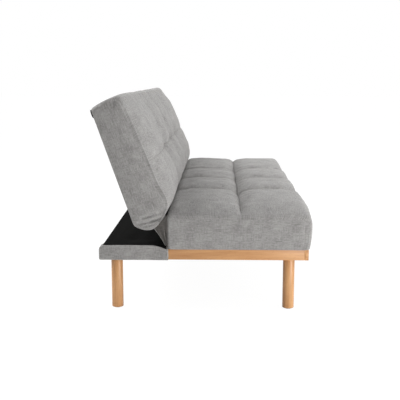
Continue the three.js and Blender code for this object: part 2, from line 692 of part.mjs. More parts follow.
function seatBlock() {
  const group = new THREE.Group();
  group.position.set(0, 0, SEAT_BASE);
  const padding = paddedBlock({
    loop: seatLoop(),
    longSeam: SEAT_REAR - SEAT_SEAM_FROM_REAR,
    endHeight: SEAT_END_HEIGHT,
    crownHeight: SEAT_CROWN_HEIGHT,
    seamDepths: [SEAT_SEAM_DEPTH, SEAT_EDGE_SEAM_DEPTH],
    topPuff: 0,
    shoulders: seatShoulders,
  });
  const cavity = box(
    [-CAVITY_END, CAVITY_END], [CAVITY_FRONT, CAVITY_REAR], [-OVERRUN, SEAT_CAVITY_DEPTH],
  );
  const room = box(
    HINGE_ROOM_X,
    [CAVITY_REAR - FIT, SEAT_REAR + OVERRUN],
    [PLATE_LOW - SLOT_SIDE - SEAT_BASE, PIVOT_Z + SLOT_ABOVE - SEAT_BASE],
  );
  const cushion = cut(padding, cavity, mirrored(room, 1), mirrored(room, -1));
  group.add(mesh("seat_cushion", cushion, finishes.cloth()));
  const run = [CAVITY_FRONT + FIT, CAVITY_REAR - FIT];
  const dust = box([-CAVITY_END + FIT, CAVITY_END - FIT], run, [0, DUST_COVER_THICK]);
  group.add(mesh("seat_dust_cover", dust, finishes.lining()));
  const frameTop = SEAT_FRAME_BASE + SEAT_FRAME_HEIGHT;
  group.add(
    ...framePieces("seat_frame", ["front", "rear"], FRAME_END, run, [SEAT_FRAME_BASE, frameTop]),
  );
  const springRun = [run[0] + FRAME_THICK - SPRING_REST, run[1] - FRAME_THICK + SPRING_REST];
  const springQ = frameTop + SPRING_WIRE + FIT;
  SEAT_SPRING_SHARES.forEach((share, i) => {
    const spring = zigzagSpring(share * HALF, springRun, springQ);
    group.add(mesh(`seat_spring_${i + 1}`, spring, finishes.spring()));
  });
  return group;
}

// Hinge shapes, drawn in Y and Z about the pivot
const polar = (angle, radius) => {
  const turn = THREE.MathUtils.degToRad(angle);
  return point(radius * Math.cos(turn), radius * Math.sin(turn));
};
const PAWL_DISTANCE = Math.hypot(PAWL_ARC, PAWL_REACH);
const PAWL_PIVOT = polar(PAWL_SIDE, PAWL_DISTANCE);
const NOSE_ANGLE = PAWL_SIDE - THREE.MathUtils.radToDeg(Math.atan2(PAWL_REACH, PAWL_ARC));

// The arm's sector: a disc with a notch for each position of the backrest.
function sectorShape() {
  const half = NOTCH_WIDTH / 2;
  const floorHalf = half * NOTCH_FLOOR_SHARE;
  const floor = SECTOR_RADIUS - NOTCH_DEPTH;
  const notches = NOTCH_ANGLES.map((angle, i) => {
    const middle = NOSE_ANGLE + angle;
    const early = middle - (i ? 0 : FORWARD_PLAY);
    return {
      opens: early - half,
      floorFrom: early - floorHalf,
      floorTo: middle + floorHalf,
      closes: middle + half,
    };
  });
  const points = [];
  notches.forEach(({ opens, floorFrom, floorTo, closes }, i) => {
    points.push(polar(opens, SECTOR_RADIUS), polar(floorFrom, floor), polar(floorTo, floor));
    const next = i + 1 < notches.length ? notches[i + 1].opens : notches[0].opens + 360;
    const steps = Math.max(1, Math.round((next - closes) / RIM_STEP));
    for (let step = 0; step < steps; step++) {
      points.push(polar(closes + ((next - closes) * step) / steps, SECTOR_RADIUS));
    }
  });
  return new THREE.Shape(points);
}

function disc(radius, centre) {
  const shape = new THREE.Shape();
  shape.absarc(centre.x, centre.y, radius, 0, Math.PI * 2);
  return shape;
}

// A bar with round ends between two places.
function link(from, to, fromRadius, toRadius) {
  const angle = Math.atan2(to.y - from.y, to.x - from.x);
  const quarter = Math.PI / 2;
  const shape = new THREE.Shape();
  shape.absarc(from.x, from.y, fromRadius, angle + quarter, angle + 3 * quarter);
  shape.absarc(to.x, to.y, toRadius, angle - quarter, angle + quarter);
  return shape;
}

// Fixed hinge pieces, in the sofa's own directions with the pivot at the origin
function seatHinge(side, sign) {
  const group = new THREE.Group();
  group.position.set(0, PIVOT_Y, PIVOT_Z);
  const barRear = CAVITY_REAR - FRAME_THICK - PIVOT_Y;
  const barTop = PLATE_TOP - PIVOT_Z;
  const barLow = PLATE_LOW - PIVOT_Z;
  const barFront = barRear - PLATE_BAR_LENGTH;
  const outer = PLATE_X + PLATE_THICK;
  const bar = box([PLATE_X, outer], [barFront, barRear + FRAME_THICK], [barLow, barTop]);
  const neckFoot = point(barRear, barTop - PLATE_BAR / 2);
  const neck = plate(link(point(0, 0), neckFoot, PLATE_BOSS, PLATE_BAR / 2), PLATE_X, outer);
  const pawlSeat = plate(disc(PAWL_BOSS, PAWL_PIVOT), PLATE_X, outer);
  const pawlPin = barX(PAWL_PIN, PLATE_X, ARM_X + PLATE_THICK, PAWL_PIVOT.x, PAWL_PIVOT.y, 16);
  const rivets = [barFront + PLATE_BAR / 2, barRear].map((y) =>
    barX(RIVET_RADIUS, PLATE_X, outer + RIVET_RISE, y, barTop - PLATE_BAR / 2, 12),
  );
  const whole = join(bar, neck, pawlSeat, pawlPin, ...rivets);
  const hole = barX(PIN_RADIUS + PIN_PLAY, PLATE_X - OVERRUN, outer + OVERRUN, 0, 0);
  group.add(mesh(`hinge_plate_${side}`, mirrored(cut(whole, hole), sign), finishes.steel()));
  group.add(mesh(`hinge_pin_${side}`, mirrored(hingePin(), sign), finishes.steel()));
  const leaf = plate(leafShape(), ARM_X, ARM_X + PLATE_THICK);
  group.add(mesh(`pawl_spring_${side}`, mirrored(leaf, sign), finishes.spring()));
  return group;
}

// A rivet-like pin with a head outside each plate
function hingePin() {
  const inner = PLATE_X - FIT;
  const outer = ARM_X + PLATE_THICK + FIT;
  return join(
    barX(PIN_RADIUS, inner - PIN_HEAD_THICK / 2, outer + PIN_HEAD_THICK / 2, 0, 0),
    barX(PIN_HEAD_RADIUS, inner - PIN_HEAD_THICK, inner, 0, 0),
    barX(PIN_HEAD_RADIUS, outer, outer + PIN_HEAD_THICK, 0, 0),
  );
}

function nosePoint() {
  return polar(NOSE_ANGLE, PAWL_ARC);
}

// The pawl: a lever from its pivot to a blunt nose that faces the sector, drawn when lifted.
function pawlShape() {
  const nose = nosePoint();
  const inward = nose.clone().normalize().negate();
  const down = PAWL_PIVOT.clone().sub(nose).normalize();
  const tip = PAWL_NOSE / 2;
  const at = (a, b) => nose.clone().addScaledVector(inward, a).addScaledVector(down, b);
  const lever = [
    at(0, -tip * NOSE_TIP_SHARE), at(0, tip * NOSE_TIP_SHARE), at(-NOTCH_DEPTH, tip),
    at(-NOTCH_DEPTH, PAWL_REACH), at(-NOTCH_DEPTH - PAWL_BOSS, PAWL_REACH),
    at(-NOTCH_DEPTH - PAWL_BOSS, -tip), at(-NOTCH_DEPTH, -tip),
  ];
  return new THREE.Shape(lever);
}

// The leaf spring behind the pawl, with its foot past the pawl's pivot
function leafShape() {
  const nose = nosePoint();
  const outward = nose.clone().normalize();
  const down = PAWL_PIVOT.clone().sub(nose).normalize();
  const back = NOTCH_DEPTH + PAWL_BOSS + FIT;
  const at = (a, b) => nose.clone().addScaledVector(outward, a).addScaledVector(down, b);
  return new THREE.Shape([
    at(back, 0),
    at(back + LEAF_THICK, 0),
    at(back + LEAF_THICK, PAWL_REACH + LEAF_FOOT),
    at(back, PAWL_REACH + LEAF_FOOT),
  ]);
}

function pawl(side, sign) {
  const body = join(
    plate(pawlShape(), ARM_X, ARM_X + PLATE_THICK),
    plate(disc(PAWL_BOSS, PAWL_PIVOT), ARM_X, ARM_X + PLATE_THICK),
  );
  const hole = barX(
    PAWL_PIN + PIN_PLAY, ARM_X - OVERRUN, ARM_X + OVERRUN, PAWL_PIVOT.x, PAWL_PIVOT.y, 16,
  );
  const piece = mesh(`pawl_${side}`, mirrored(cut(body, hole), sign), finishes.steel());
  piece.position.set(0, PIVOT_Y, PIVOT_Z);
  return piece;
}

// The backrest hangs on the pivot: its group turns about the hinge.
function backrest() {
  const hung = new THREE.Group();
  hung.position.set(0, PIVOT_Y, PIVOT_Z);
  hung.rotation.x = TILT;
  const group = new THREE.Group();
  group.position.set(0, -PIVOT_UP, -PIVOT_FORWARD);
  hung.add(group);
  const padding = paddedBlock({
    loop: backLoop(),
    longSeam: BACK_SEAM_UP,
    endHeight: BACK_END_THICK,
    crownHeight: BACK_CROWN_THICK,
    seamDepths: [BACK_SEAM_DEPTH, BACK_EDGE_SEAM_DEPTH],
    topPuff: BACK_TOP_PUFF,
    shoulders: backShoulders,
  });
  const run = [LONG_CAVITY_WALL, BACK_LENGTH - LONG_CAVITY_WALL];
  const cavity = box([-CAVITY_END, CAVITY_END], run, [-OVERRUN, BACK_CAVITY_DEPTH]);
  const swing = SECTOR_RADIUS + RUNNING;
  const room = box(
    HINGE_ROOM_X,
    [-BACK_BULGE_DROP - OVERRUN, run[0] + ARM_WIDTH],
    [ARM_FROM_REAR - ARM_WIDTH / 2, PIVOT_FORWARD + swing],
  );
  const pawlRoom = box(
    HINGE_ROOM_X,
    [-BACK_BULGE_DROP - OVERRUN, PIVOT_UP + PLATE_BOSS],
    [PIVOT_FORWARD, PIVOT_FORWARD + PAWL_ARC + NOTCH_DEPTH + PAWL_BOSS + SLOT_SIDE],
  );
  const rooms = [room, pawlRoom].flatMap((tool) => [mirrored(tool, 1), mirrored(tool, -1)]);
  const cushion = cut(padding, cavity, ...rooms);
  group.add(mesh("back_cushion", cushion, finishes.cloth()));
  const inner = [run[0] + FIT, run[1] - FIT];
  const panel = box([-CAVITY_END + FIT, CAVITY_END - FIT], inner, [FIT, REAR_PANEL_THICK]);
  group.add(mesh("back_rear_panel", panel, finishes.cloth()));
  const frameTop = BACK_FRAME_BASE + BACK_FRAME_DEPTH;
  group.add(
    ...framePieces("back_frame", ["bottom", "top"], ARM_X - FIT, inner, [BACK_FRAME_BASE, frameTop]),
  );
  const springRun = [inner[0] + FRAME_THICK - SPRING_REST, inner[1] - FRAME_THICK + SPRING_REST];
  const springQ = frameTop + SPRING_WIRE + FIT;
  BACK_SPRING_SHARES.forEach((share, i) => {
    const spring = zigzagSpring(share * HALF, springRun, springQ);
    group.add(mesh(`back_spring_${i + 1}`, spring, finishes.spring()));
  });
  for (const [side, sign] of SIDES) group.add(hingeArm(side, sign));
  return hung;
}

// The moving arm of a hinge: its toothed sector and the bar on the backrest's frame
function hingeArm(side, sign) {
  const outer = ARM_X + PLATE_THICK;
  const sector = plate(sectorShape(), ARM_X, outer).rotateX(-TILT);
  sector.translate(0, PIVOT_UP, PIVOT_FORWARD);
  const barFoot = point(LONG_CAVITY_WALL + ARM_WIDTH, ARM_FROM_REAR);
  const barHead = point(barFoot.x + ARM_LENGTH, ARM_FROM_REAR);
  const pivot = point(PIVOT_UP, PIVOT_FORWARD);
  const neck = plate(link(pivot, barFoot, PLATE_BOSS, ARM_WIDTH / 2), ARM_X, outer);
  const bar = plate(link(barFoot, barHead, ARM_WIDTH / 2, ARM_WIDTH / 2), ARM_X, outer);
  const rivets = [barFoot.x + ARM_WIDTH / 2, barHead.x].map((p) =>
    barX(RIVET_RADIUS, ARM_X, outer + RIVET_RISE, p, ARM_FROM_REAR, 12),
  );
  const hole = barX(PIN_RADIUS + PIN_PLAY, ARM_X - OVERRUN, outer + OVERRUN, pivot.x, pivot.y);
  const whole = cut(join(sector, neck, bar, ...rivets), hole);
  return mesh(`hinge_arm_${side}`, mirrored(whole, sign), finishes.steel());
}

// The strip hangs from under the backrest to the foot of the seat's rear face.
function gapStrip() {
  const half = HALF - STRIP_INSET;
  const top = point(SEAT_REAR + STRIP_TOP_OUT, PIVOT_Z - STRIP_TOP_BELOW_PIVOT);
  const foot = point(REAR_FRONT + STRIP_THICK, LINING_TOP + FIT);
  const sag = point((top.x + foot.x) / 2 + STRIP_SAG, (top.y + foot.y) / 2 - STRIP_SAG);
  const path = new THREE.QuadraticBezierCurve(top, sag, foot).getPoints(6);
  const offset = path.map((place, i) => {
    const before = path[Math.max(i - 1, 0)];
    const after = path[Math.min(i + 1, path.length - 1)];
    const way = after.clone().sub(before).normalize();
    return point(place.x + way.y * STRIP_THICK, place.y - way.x * STRIP_THICK);
  });
  const strip = plate(new THREE.Shape([...path, ...offset.reverse()]), -half, half);
  const peak = point(SEAT_REAR + GUSSET_TOP_OUT, PIVOT_Z - GUSSET_TOP_BELOW_PIVOT);
  const gusset = plate(new THREE.Shape([peak, ...path]), half - STRIP_THICK, half);
  return join(strip, gusset, mirrored(gusset, -1));
}

const sofa = new THREE.Group();
sofa.add(baseFrame(), rearFrame(), legSet(), seatBlock(), backrest());
for (const [side, sign] of SIDES) sofa.add(seatHinge(side, sign), pawl(side, sign));
sofa.add(mesh("gap_strip", gapStrip(), finishes.cloth()));

// The outline's middle comes to the origin.
const outline = new THREE.Box3().setFromObject(sofa, true);
sofa.position.y = -(outline.min.y + outline.max.y) / 2;
const root = new THREE.Group();
root.add(sofa);

export default root;
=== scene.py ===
"""A click clack sofa bed: its cloth, stitching, wood and light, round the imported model.

Metres. X runs along the sofa, the front faces -Y, Z is up. The camera looks from the -X end.
"""
import json
import math

import bmesh
import bpy
import numpy as np
from mathutils import Matrix, Vector


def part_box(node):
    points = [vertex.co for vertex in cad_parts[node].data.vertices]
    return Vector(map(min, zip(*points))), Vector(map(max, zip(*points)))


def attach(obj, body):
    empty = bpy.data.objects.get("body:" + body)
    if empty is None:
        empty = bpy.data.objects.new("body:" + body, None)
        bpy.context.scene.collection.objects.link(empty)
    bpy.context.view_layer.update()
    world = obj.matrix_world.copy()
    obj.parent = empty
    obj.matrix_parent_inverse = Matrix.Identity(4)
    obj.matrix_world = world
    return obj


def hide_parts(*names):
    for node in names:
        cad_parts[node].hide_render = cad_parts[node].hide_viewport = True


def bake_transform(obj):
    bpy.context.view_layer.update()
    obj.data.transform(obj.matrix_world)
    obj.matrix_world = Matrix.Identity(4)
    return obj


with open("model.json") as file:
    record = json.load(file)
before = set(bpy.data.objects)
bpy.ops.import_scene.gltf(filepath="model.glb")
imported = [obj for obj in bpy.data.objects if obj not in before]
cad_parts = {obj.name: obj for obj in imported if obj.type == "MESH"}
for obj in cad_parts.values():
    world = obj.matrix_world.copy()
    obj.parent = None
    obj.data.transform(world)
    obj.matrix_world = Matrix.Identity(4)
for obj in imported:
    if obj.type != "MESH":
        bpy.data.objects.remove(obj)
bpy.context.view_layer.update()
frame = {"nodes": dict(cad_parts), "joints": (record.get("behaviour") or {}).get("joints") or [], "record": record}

# Camera, solved from the photograph's long edges
LENS = 64.8
SENSOR_WIDTH = 36
CAMERA_PLACE = (-3.638, -0.061, 0.912)
CAMERA_PITCH = 9.7
CAMERA_YAW = 1.5

SIDES = (("left", -1), ("right", 1))

# Both padded blocks
SEAM_SPACING = 0.365
COLUMNS = (-SEAM_SPACING, 0.0, SEAM_SPACING)
SEAM_SLOPE = 0.05  # how far the cloth takes to rise beside a seam
CREASE_DEPTH = 0.019  # the thread's own crease in it
CREASE_SLOPE = 0.01
LONG_CREASE = 1.5  # of the share that a long seam keeps, up to 1
TUFT_DEPTH = 0.012
TUFT_REACH = 0.09  # how far along the sofa a tuft deepens the long seam
PIT_DEPTH = 0.018  # the hole that a tuft's thread pulls
PIT_RADIUS = 0.019
PLEAT_DEPTH = 0.003  # folds that run out from a tuft
PLEAT_REACH = 0.035
PLEATS = 5
SIDE_DRAW = 0.005
END_ROUND = 0.016
END_TURN = 80  # degrees of that rounding before the end face begins
END_SLOPE = 0.15  # how far from an end the padding reaches its full height
GATHER_DEPTH = 0.0034  # small folds that stand square to a seam
GATHER_REACH = 0.026
GATHER_LENGTHS = (0.031, 0.043, 0.064)
GATHER_SWAY = (11, 2)  # how often, and how much, they wander along a seam
WRINKLES = 14
WRINKLE_DEPTH = 0.0017
WRINKLE_SHARE = 1.6  # of that depth, for the sum of them all
WRINKLE_TURN = 0.6  # radians, the usual turn away from the sofa's depth
WRINKLE_LENGTHS = (0.03, 0.12)
WRINKLE_PATCHES = (3, 9)  # how often a wrinkle comes and goes, in radians a metre
POINT_STEP = 0.011  # between points round a section
CROWDING = (1.3, 1.6)  # how many more there are beside a seam, and the power that gathers them
SPAN_STEPS = 42  # rings from seam to seam
END_RINGS = 10
WELT_SHARES = {4: 0.6, 5: 1.0, 6: 0.5}  # of its rise, on the rings round an end
CAP_RINGS = 24

# Seat block
SEAT_END_HEIGHT = 0.134
SEAT_CROWN_HEIGHT = 0.173
SEAT_SEAM_DEPTHS = (0.024, 0.034)  # in the middle, and at the front and rear edges
SEAT_LONG_SEAM = 0.5  # share of that depth which the long seam keeps between tufts
SEAT_TUCK = 0.009
SEAT_FRONT_ROUND = 0.042
SEAT_REAR_ROUND = 0.019
SEAT_SEAM_FROM_REAR = 0.2895
SEAT_REAR_SHOULDER = 0.66
SEAT_END_BULGE = 0.005

# Backrest block, measured up its flat rear face and forward from it
RECLINE = 19.3
PIVOT_UP = -0.009
PIVOT_FORWARD = 0.0936
BACK_LENGTH = 0.483
BACK_TOP_RISE = 0.014
BACK_TOP_PUFF = 0.007
BACK_TOP_THICK = 0.124
BACK_TOP_ROUND = 0.03
BACK_END_THICK = 0.139
BACK_CROWN_THICK = 0.186
BACK_SEAM_DEPTHS = (0.026, 0.030)
BACK_LONG_SEAM = 0.16
BACK_SEAM_UP = 0.228
BACK_BELLY_UP = 0.077
BACK_BELLY_THICK = 0.15
BACK_CHIN_THICK = 0.103
BACK_CHIN_DROP = 0.017
BACK_BULGE_DROP = 0.034
BACK_TOP_SHOULDER = 0.5
BACK_CHIN_SHOULDER = 0.05
BACK_END_BULGE = 0.009
BACK_CONTACT = (0.04, 0.009)  # where it meets the seat, and how much fuller it is there
CONTACT_REACH = 0.045
WELT_RISE = 0.003  # the seam's ridge where the backrest's end meets its front

# Cloth and thread
YARN = 0.0024  # pitch of the cloth's yarns
STITCH_PITCH = 0.009
STITCH_LENGTH = 0.0055
THREAD_RADIUS = 0.0007
THREAD_SIDES = 5
THREAD_RINGS = ((-0.5, 0.35), (-0.3, 1.0), (0.3, 1.0), (0.5, 0.35))  # shares of its length and radius
SEAM_FOOT = 0.75  # share of the end's height, above which the cross seams have thread
LONG_SEAM_POINTS = 700
SETTLE_CAP = 0.005  # how far the simulated cloth may move from its pattern
SETTLE_FRAMES = 12
HELD_LEAST = 0.02  # below this share the cloth is free
LOOSE_REACH = 0.09  # over which its hold lets go, from an edge of a block
BACK_LOOSE = (0.03, 0.1)  # where it starts to let go above the backrest's foot, and over how far
SHEET_THICK = 0.0008
SAME_PLACE = 1e-5  # points that lie closer are one

# Cloths of the base and the backrest's rear
LINING_DROP = 0.0002  # below its CAD solid's own underside
LINING_SAG = 0.004
LINING_BEND = 0.09  # how far it takes to sag from what carries it
LINING_RIPPLE = 0.3  # of the sag
LINING_FOLD = 0.0008
FOLD_START = 0.6  # share of the way from the middle to an arm
LINING_GRID = (220, 40)
FLAP_START = 0.001  # behind the seat
FLAP_LENGTH = 0.05
FLAP_DEPTH = 0.0165
FLAP_OUT = 0.0012
FLAP_TAPER = 1.3  # the power by which its depth shrinks towards its rear
FLAP_STEPS = (12, 6)
DUST_DROP = 0.0002
DUST_SAG = 0.003
DUST_GRID = (160, 50)
PANEL_MARGIN = 0.0213
PANEL_HEM = 0.012
PANEL_RISE = 0.0008
PANEL_LIFTS = (0.35, 0.4)  # shares of that rise, inside the hem and along its middle
PANEL_GRID = (200, 70)
HEM_STEPS = 16
TAB_SPAN = (0.447, 0.48)  # up the backrest's rear
TAB_THICK = 0.006
TAB_LENGTH = 0.03
TAB_INSET = 0.004
TAB_SIDES = 12
GAP_INSET = 0.0085
GAP_TOP = (0.044, -0.033)  # from the seat's rear, and from the hinge's height
GAP_FOOT = 0.0018
GAP_SAG = 0.006
GAP_SLACK = 0.0012
GAP_STEP = 0.0055  # between its points along the sofa
GAP_ROWS = 14
GAP_NOTCH = 0.006  # beside each pawl, which reaches through the cloth when the bed is flat
GAP_NOTCH_SHARE = 0.7  # of its height
GUSSET_PEAK = (-0.003, 0.027)  # its corners, from the seat's rear and the hinge's height
GUSSET_TIP = (-0.003, -0.1135)
GUSSET_BACK = (0.05, -0.029)
GUSSET_HOLLOW = (-0.006, 0.004)  # how its free edge curves in
GUSSET_INSETS = (0.01, 0.005)  # from the seat's end, at its peak and at its tip
GUSSET_FOLD = 0.0034
GUSSET_WAVES = 15  # radians of its folds, across it
GUSSET_STEPS = 21
HEM_RADIUS = 0.0017
HEM_SIDES = 8
WRAP_EDGE = 0.005
WRAP_BULGE = 0.0012
WRAP_RIPPLE = 0.0003
WRAP_SEEDS = (20, 21, 30)  # for the left arm, the right arm and the beam
WRAP_STEPS = 7  # rings round each end
ROUND_STEPS = 6
ARM_ROUND = 0.024
ARM_HEEL = 0.008
STEP_ROUND = 0.002
EDGE_EASE = 0.0006  # on the hard pieces

# Places from the frame
SEAT_LOW, SEAT_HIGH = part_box("seat_cushion")
HALF = SEAT_HIGH.x
SEAT_DEPTH = SEAT_HIGH.y - SEAT_LOW.y
PIVOT = Vector(next(joint for joint in frame["joints"] if joint["name"] == "back_recline")["pos_m"])
SEAT_PLACE = Matrix.Translation((0, SEAT_LOW.y, SEAT_LOW.z))
BACK_PLACE = (
    Matrix.Translation(PIVOT)
    @ Matrix.Rotation(math.radians(90 - RECLINE), 4, "X")
    @ Matrix.Translation((0, -PIVOT_UP, -PIVOT_FORWARD))
)
# Creases in the ends: from and to in depth and height, how deep and how wide
SEAT_CREASES = (
    ((0.033, 0.0), (0.031, 0.112), 0.0016, 0.003),
    ((0.026, 0.108), (0.032, 0.122), 0.0035, 0.006),
)
BACK_CREASES = (
    ((0.005, 0.022), (-0.001, 0.065), 0.012, 0.005),
    ((-0.001, 0.065), (-0.006, 0.135), 0.026, 0.005),
    ((0.024, 0.045), (0.016, 0.128), 0.012, 0.004),
    ((-0.012, 0.04), (-0.017, 0.1), 0.01, 0.004),
    ((0.492, 0.096), (0.468, 0.088), 0.008, 0.005),
)


# Nodes
class Tree:
    """The nodes of a material or a world, with short calls to add and join them."""

    def __init__(self, owner, shader="Principled BSDF"):
        owner.use_nodes = True
        self.owner = owner
        self.nodes, self.links = owner.node_tree.nodes, owner.node_tree.links
        self.shader = self.nodes[shader]

    def add(self, kind, settings=None, **inputs):
        node = self.nodes.new("ShaderNode" + kind)
        for key, value in (settings or {}).items():
            setattr(node, key, value)
        for key, value in inputs.items():
            self.put(node.inputs[key.replace("_", " ")], value)
        return node

    def put(self, socket, value):
        if isinstance(value, bpy.types.NodeSocket):
            self.links.new(value, socket)
        else:
            socket.default_value = value

    def fed(self, kind, settings, inputs, output=0):
        """An output of a new node whose inputs are given by their numbers."""
        node = self.add(kind, settings)
        for number, value in inputs.items():
            self.put(node.inputs[number], value)
        return node.outputs[output]

    def math(self, operation, a, b=0.0):
        return self.fed("Math", {"operation": operation}, {0: a, 1: b})

    def total(self, *shares):
        """The sum of values, each times its share."""
        found = 0.0
        for value, share in shares:
            found = self.math("ADD", found, self.math("MULTIPLY", value, share))
        return found

    def mix(self, share, low, high, blend="MIX"):
        settings = {"data_type": "RGBA", "blend_type": blend}
        return self.fed("Mix", settings, {0: share, 6: low, 7: high}, 2)

    def choose(self, share, low, high):
        return self.fed("Mix", {"data_type": "FLOAT"}, {0: share, 2: low, 3: high})

    def noise(self, place, scale, detail=2.0, roughness=0.5):
        node = self.add("TexNoise", Scale=scale, Detail=detail, Roughness=roughness, Vector=place)
        return node.outputs["Fac"]

    def grain(self, place, scales, detail=2.0, roughness=0.5):
        """Noise that is stretched by its own scale on each axis."""
        stretched = self.add("Mapping", Scale=scales, Vector=place).outputs[0]
        return self.noise(stretched, 1.0, detail, roughness)

    def spread(self, value, low, high):
        return self.add("MapRange", Value=value, From_Min=low, From_Max=high).outputs[0]

    def bump(self, height, distance, strength, **normal):
        return self.add("Bump", Strength=strength, Distance=distance, Height=height, **normal).outputs[0]

    def set(self, **values):
        for key, value in values.items():
            self.put(self.shader.inputs[key.replace("_", " ")], value)

    def show(self, direct, share, output):
        """Shows a share of another shader to the camera, also in gloss and through glass."""
        path = self.add("LightPath").outputs
        mirrored = self.math("MAXIMUM", path["Is Glossy Ray"], path["Is Transmission Ray"])
        seen = self.math("MAXIMUM", path["Is Camera Ray"], mirrored)
        shaders = {1: self.shader.outputs[0], 2: direct.outputs[0]}
        both = self.fed("MixShader", {}, {0: self.math("MULTIPLY", seen, share), **shaders})
        self.put(self.nodes[output].inputs[0], both)


def begun(name, map_name="Object"):
    """A new material's nodes, and the places that its patterns follow."""
    t = Tree(bpy.data.materials.new(name))
    return t, t.add("TexCoord").outputs[map_name]


def srgb(red, green, blue):
    """A colour given as it looks on a screen, 0 to 255."""
    linear = [((c / 255 + 0.055) / 1.055) ** 2.4 for c in (red, green, blue)]
    return (*linear, 1.0)


def cloth(name, dark, light):
    """A mottled plain weave of slubby grey yarns, which follow the piece's own map in metres."""
    t, place = begun(name, "UV")
    parts = t.add("SeparateXYZ", Vector=place).outputs
    sines = [t.math("SINE", t.math("MULTIPLY", parts[i], math.pi / YARN)) for i in (0, 1)]
    ridges = [t.math("ABSOLUTE", wave) for wave in sines]
    crossing = t.math("GREATER_THAN", t.math("MULTIPLY", *sines), 0.0)
    weave = t.choose(crossing, *ridges)
    weft = t.grain(place, (26, 420, 1))
    warp = t.grain(place, (420, 30, 1))
    flecks = t.grain(place, (110, 190, 1), 3.0, 0.65)
    cloud = t.noise(place, 16.0, 4.0, 0.62)
    tone = t.total((weft, 0.28), (warp, 0.2), (flecks, 0.26), (cloud, 0.26))
    shade = t.mix(t.spread(tone, 0.36, 0.64), dark, light)
    # Painted shade: the colour is darkened, by up to 30 %, in the hollows between the yarns.
    yarn_gap_shade = t.total((weave, 0.3), (1.0, 0.7))
    fuzz = t.bump(t.noise(place, 900.0, 2.0, 0.7), 0.0006, 0.35)
    relief = t.total((weave, 1.0), (flecks, 0.9))
    t.set(
        Base_Color=t.mix(1.0, shade, yarn_gap_shade, "MULTIPLY"), Roughness=0.93, Sheen_Weight=0.25,
        Sheen_Roughness=0.55, Specular_IOR_Level=0.2, Normal=t.bump(relief, 0.0009, 0.55, Normal=fuzz),
    )
    return t.owner


def wood(name, light, dark, grain, gloss=0.42):
    """Clear wood with fine streaks and short dark flecks along the grain, an axis number."""
    t, place = begun(name)

    def scales(across, along):
        return [along if axis == grain else across for axis in range(3)]

    streaks = t.grain(place, scales(46, 3.22), 4.0, 0.55)
    bands = t.grain(place, scales(9, 0.63), 3.0)
    rays = t.math("GREATER_THAN", t.grain(place, scales(620, 60), 1.0), 0.665)
    tone = t.total((streaks, 0.65), (bands, 0.35))
    colour = t.mix(t.spread(tone, 0.37, 0.63), dark, light)
    deep = t.mix(t.math("MULTIPLY", rays, 0.45), colour, dark)
    t.set(
        Base_Color=deep, Roughness=gloss, Coat_Weight=0.12, Coat_Roughness=0.3,
        Normal=t.bump(streaks, 0.0006, 0.25),
    )
    return t.owner


def lining(name, dark, light, specular=0.2):
    """Thin non-woven cloth: pressed fibres with a fine dimpled grid."""
    t, place = begun(name)
    fibres = t.noise(place, 260.0, 5.0, 0.7)
    dimples = t.add("TexVoronoi", Scale=420.0, Vector=place).outputs["Distance"]
    shade = t.mix(t.spread(fibres, 0.3, 0.7), dark, light)
    height = t.total((fibres, 0.5), (dimples, 1.0))
    t.set(
        Base_Color=shade, Roughness=0.92, Specular_IOR_Level=specular,
        Normal=t.bump(height, 0.0006, 0.5),
    )
    return t.owner


def steel(name, colour, roughness):
    """Plated steel, faintly brushed and stained."""
    t, place = begun(name)
    brushed = t.grain(place, (900, 60, 900), 3.0)
    stains = t.noise(place, 35.0, 4.0, 0.6)
    darker = tuple(c * 0.72 for c in colour[:3]) + (1.0,)
    t.set(
        Base_Color=t.mix(t.spread(stains, 0.35, 0.65), darker, colour), Metallic=0.9,
        Roughness=t.total((brushed, 0.14), (roughness - 0.06, 1.0)),
        Normal=t.bump(brushed, 0.0002, 0.3),
    )
    return t.owner


GREY_CLOTH = cloth("grey_cloth", srgb(123, 121, 119), srgb(187, 185, 183))
# The grey cloth in darker colours: painted shade for the gap cloth and the gussets, which lie in shadow between
# seat and backrest.
PAINTED_SHADE_CLOTH = cloth("painted_shade_cloth", srgb(66, 63, 60), srgb(112, 108, 104))
WOOD_LIGHT = srgb(210, 160, 108)
WOOD_DARK = srgb(170, 115, 66)
RAIL_WOODS = [wood(f"beech_{axis}", WOOD_LIGHT, WOOD_DARK, i) for i, axis in enumerate("xyz")]
PINE = wood("sawn_softwood", srgb(222, 198, 156), srgb(190, 158, 112), 0, 0.75)
BLACK_LINING = lining("black_lining", srgb(2, 2, 2), srgb(9, 9, 8), 0.05)
HINGE_STEEL = steel("zinc_steel", srgb(176, 178, 180), 0.38)
SPRING_STEEL = steel("spring_steel", srgb(92, 94, 98), 0.45)
FELT = lining("glide_felt", srgb(38, 38, 37), srgb(58, 57, 55))
THREAD = lining("thread", srgb(128, 125, 121), srgb(156, 153, 149))


# Outlines of sections
def line(start, end):
    start, end = np.array(start), np.array(end)
    count = max(1, round(np.linalg.norm(end - start) / POINT_STEP))
    return [start + (end - start) * i / count for i in range(count)]


def curve(start, corner, end, shares):
    start, corner, end = np.array(start), np.array(corner), np.array(end)
    return [(1 - t) ** 2 * start + 2 * t * (1 - t) * corner + t * t * end for t in shares]


def bend(start, corner, end, steps):
    return curve(start, corner, end, np.arange(steps) / steps)


def towards(start, seam, corner=None):
    """Points from start to a seam, closer together near the seam, without the seam itself."""
    more, power = CROWDING
    count = max(6, round(math.dist(start, seam) / POINT_STEP * more))
    shares = 1 - (1 - np.arange(count) / count) ** power
    if corner is None:
        corner = np.add(start, seam) / 2
    return curve(start, corner, seam, shares)


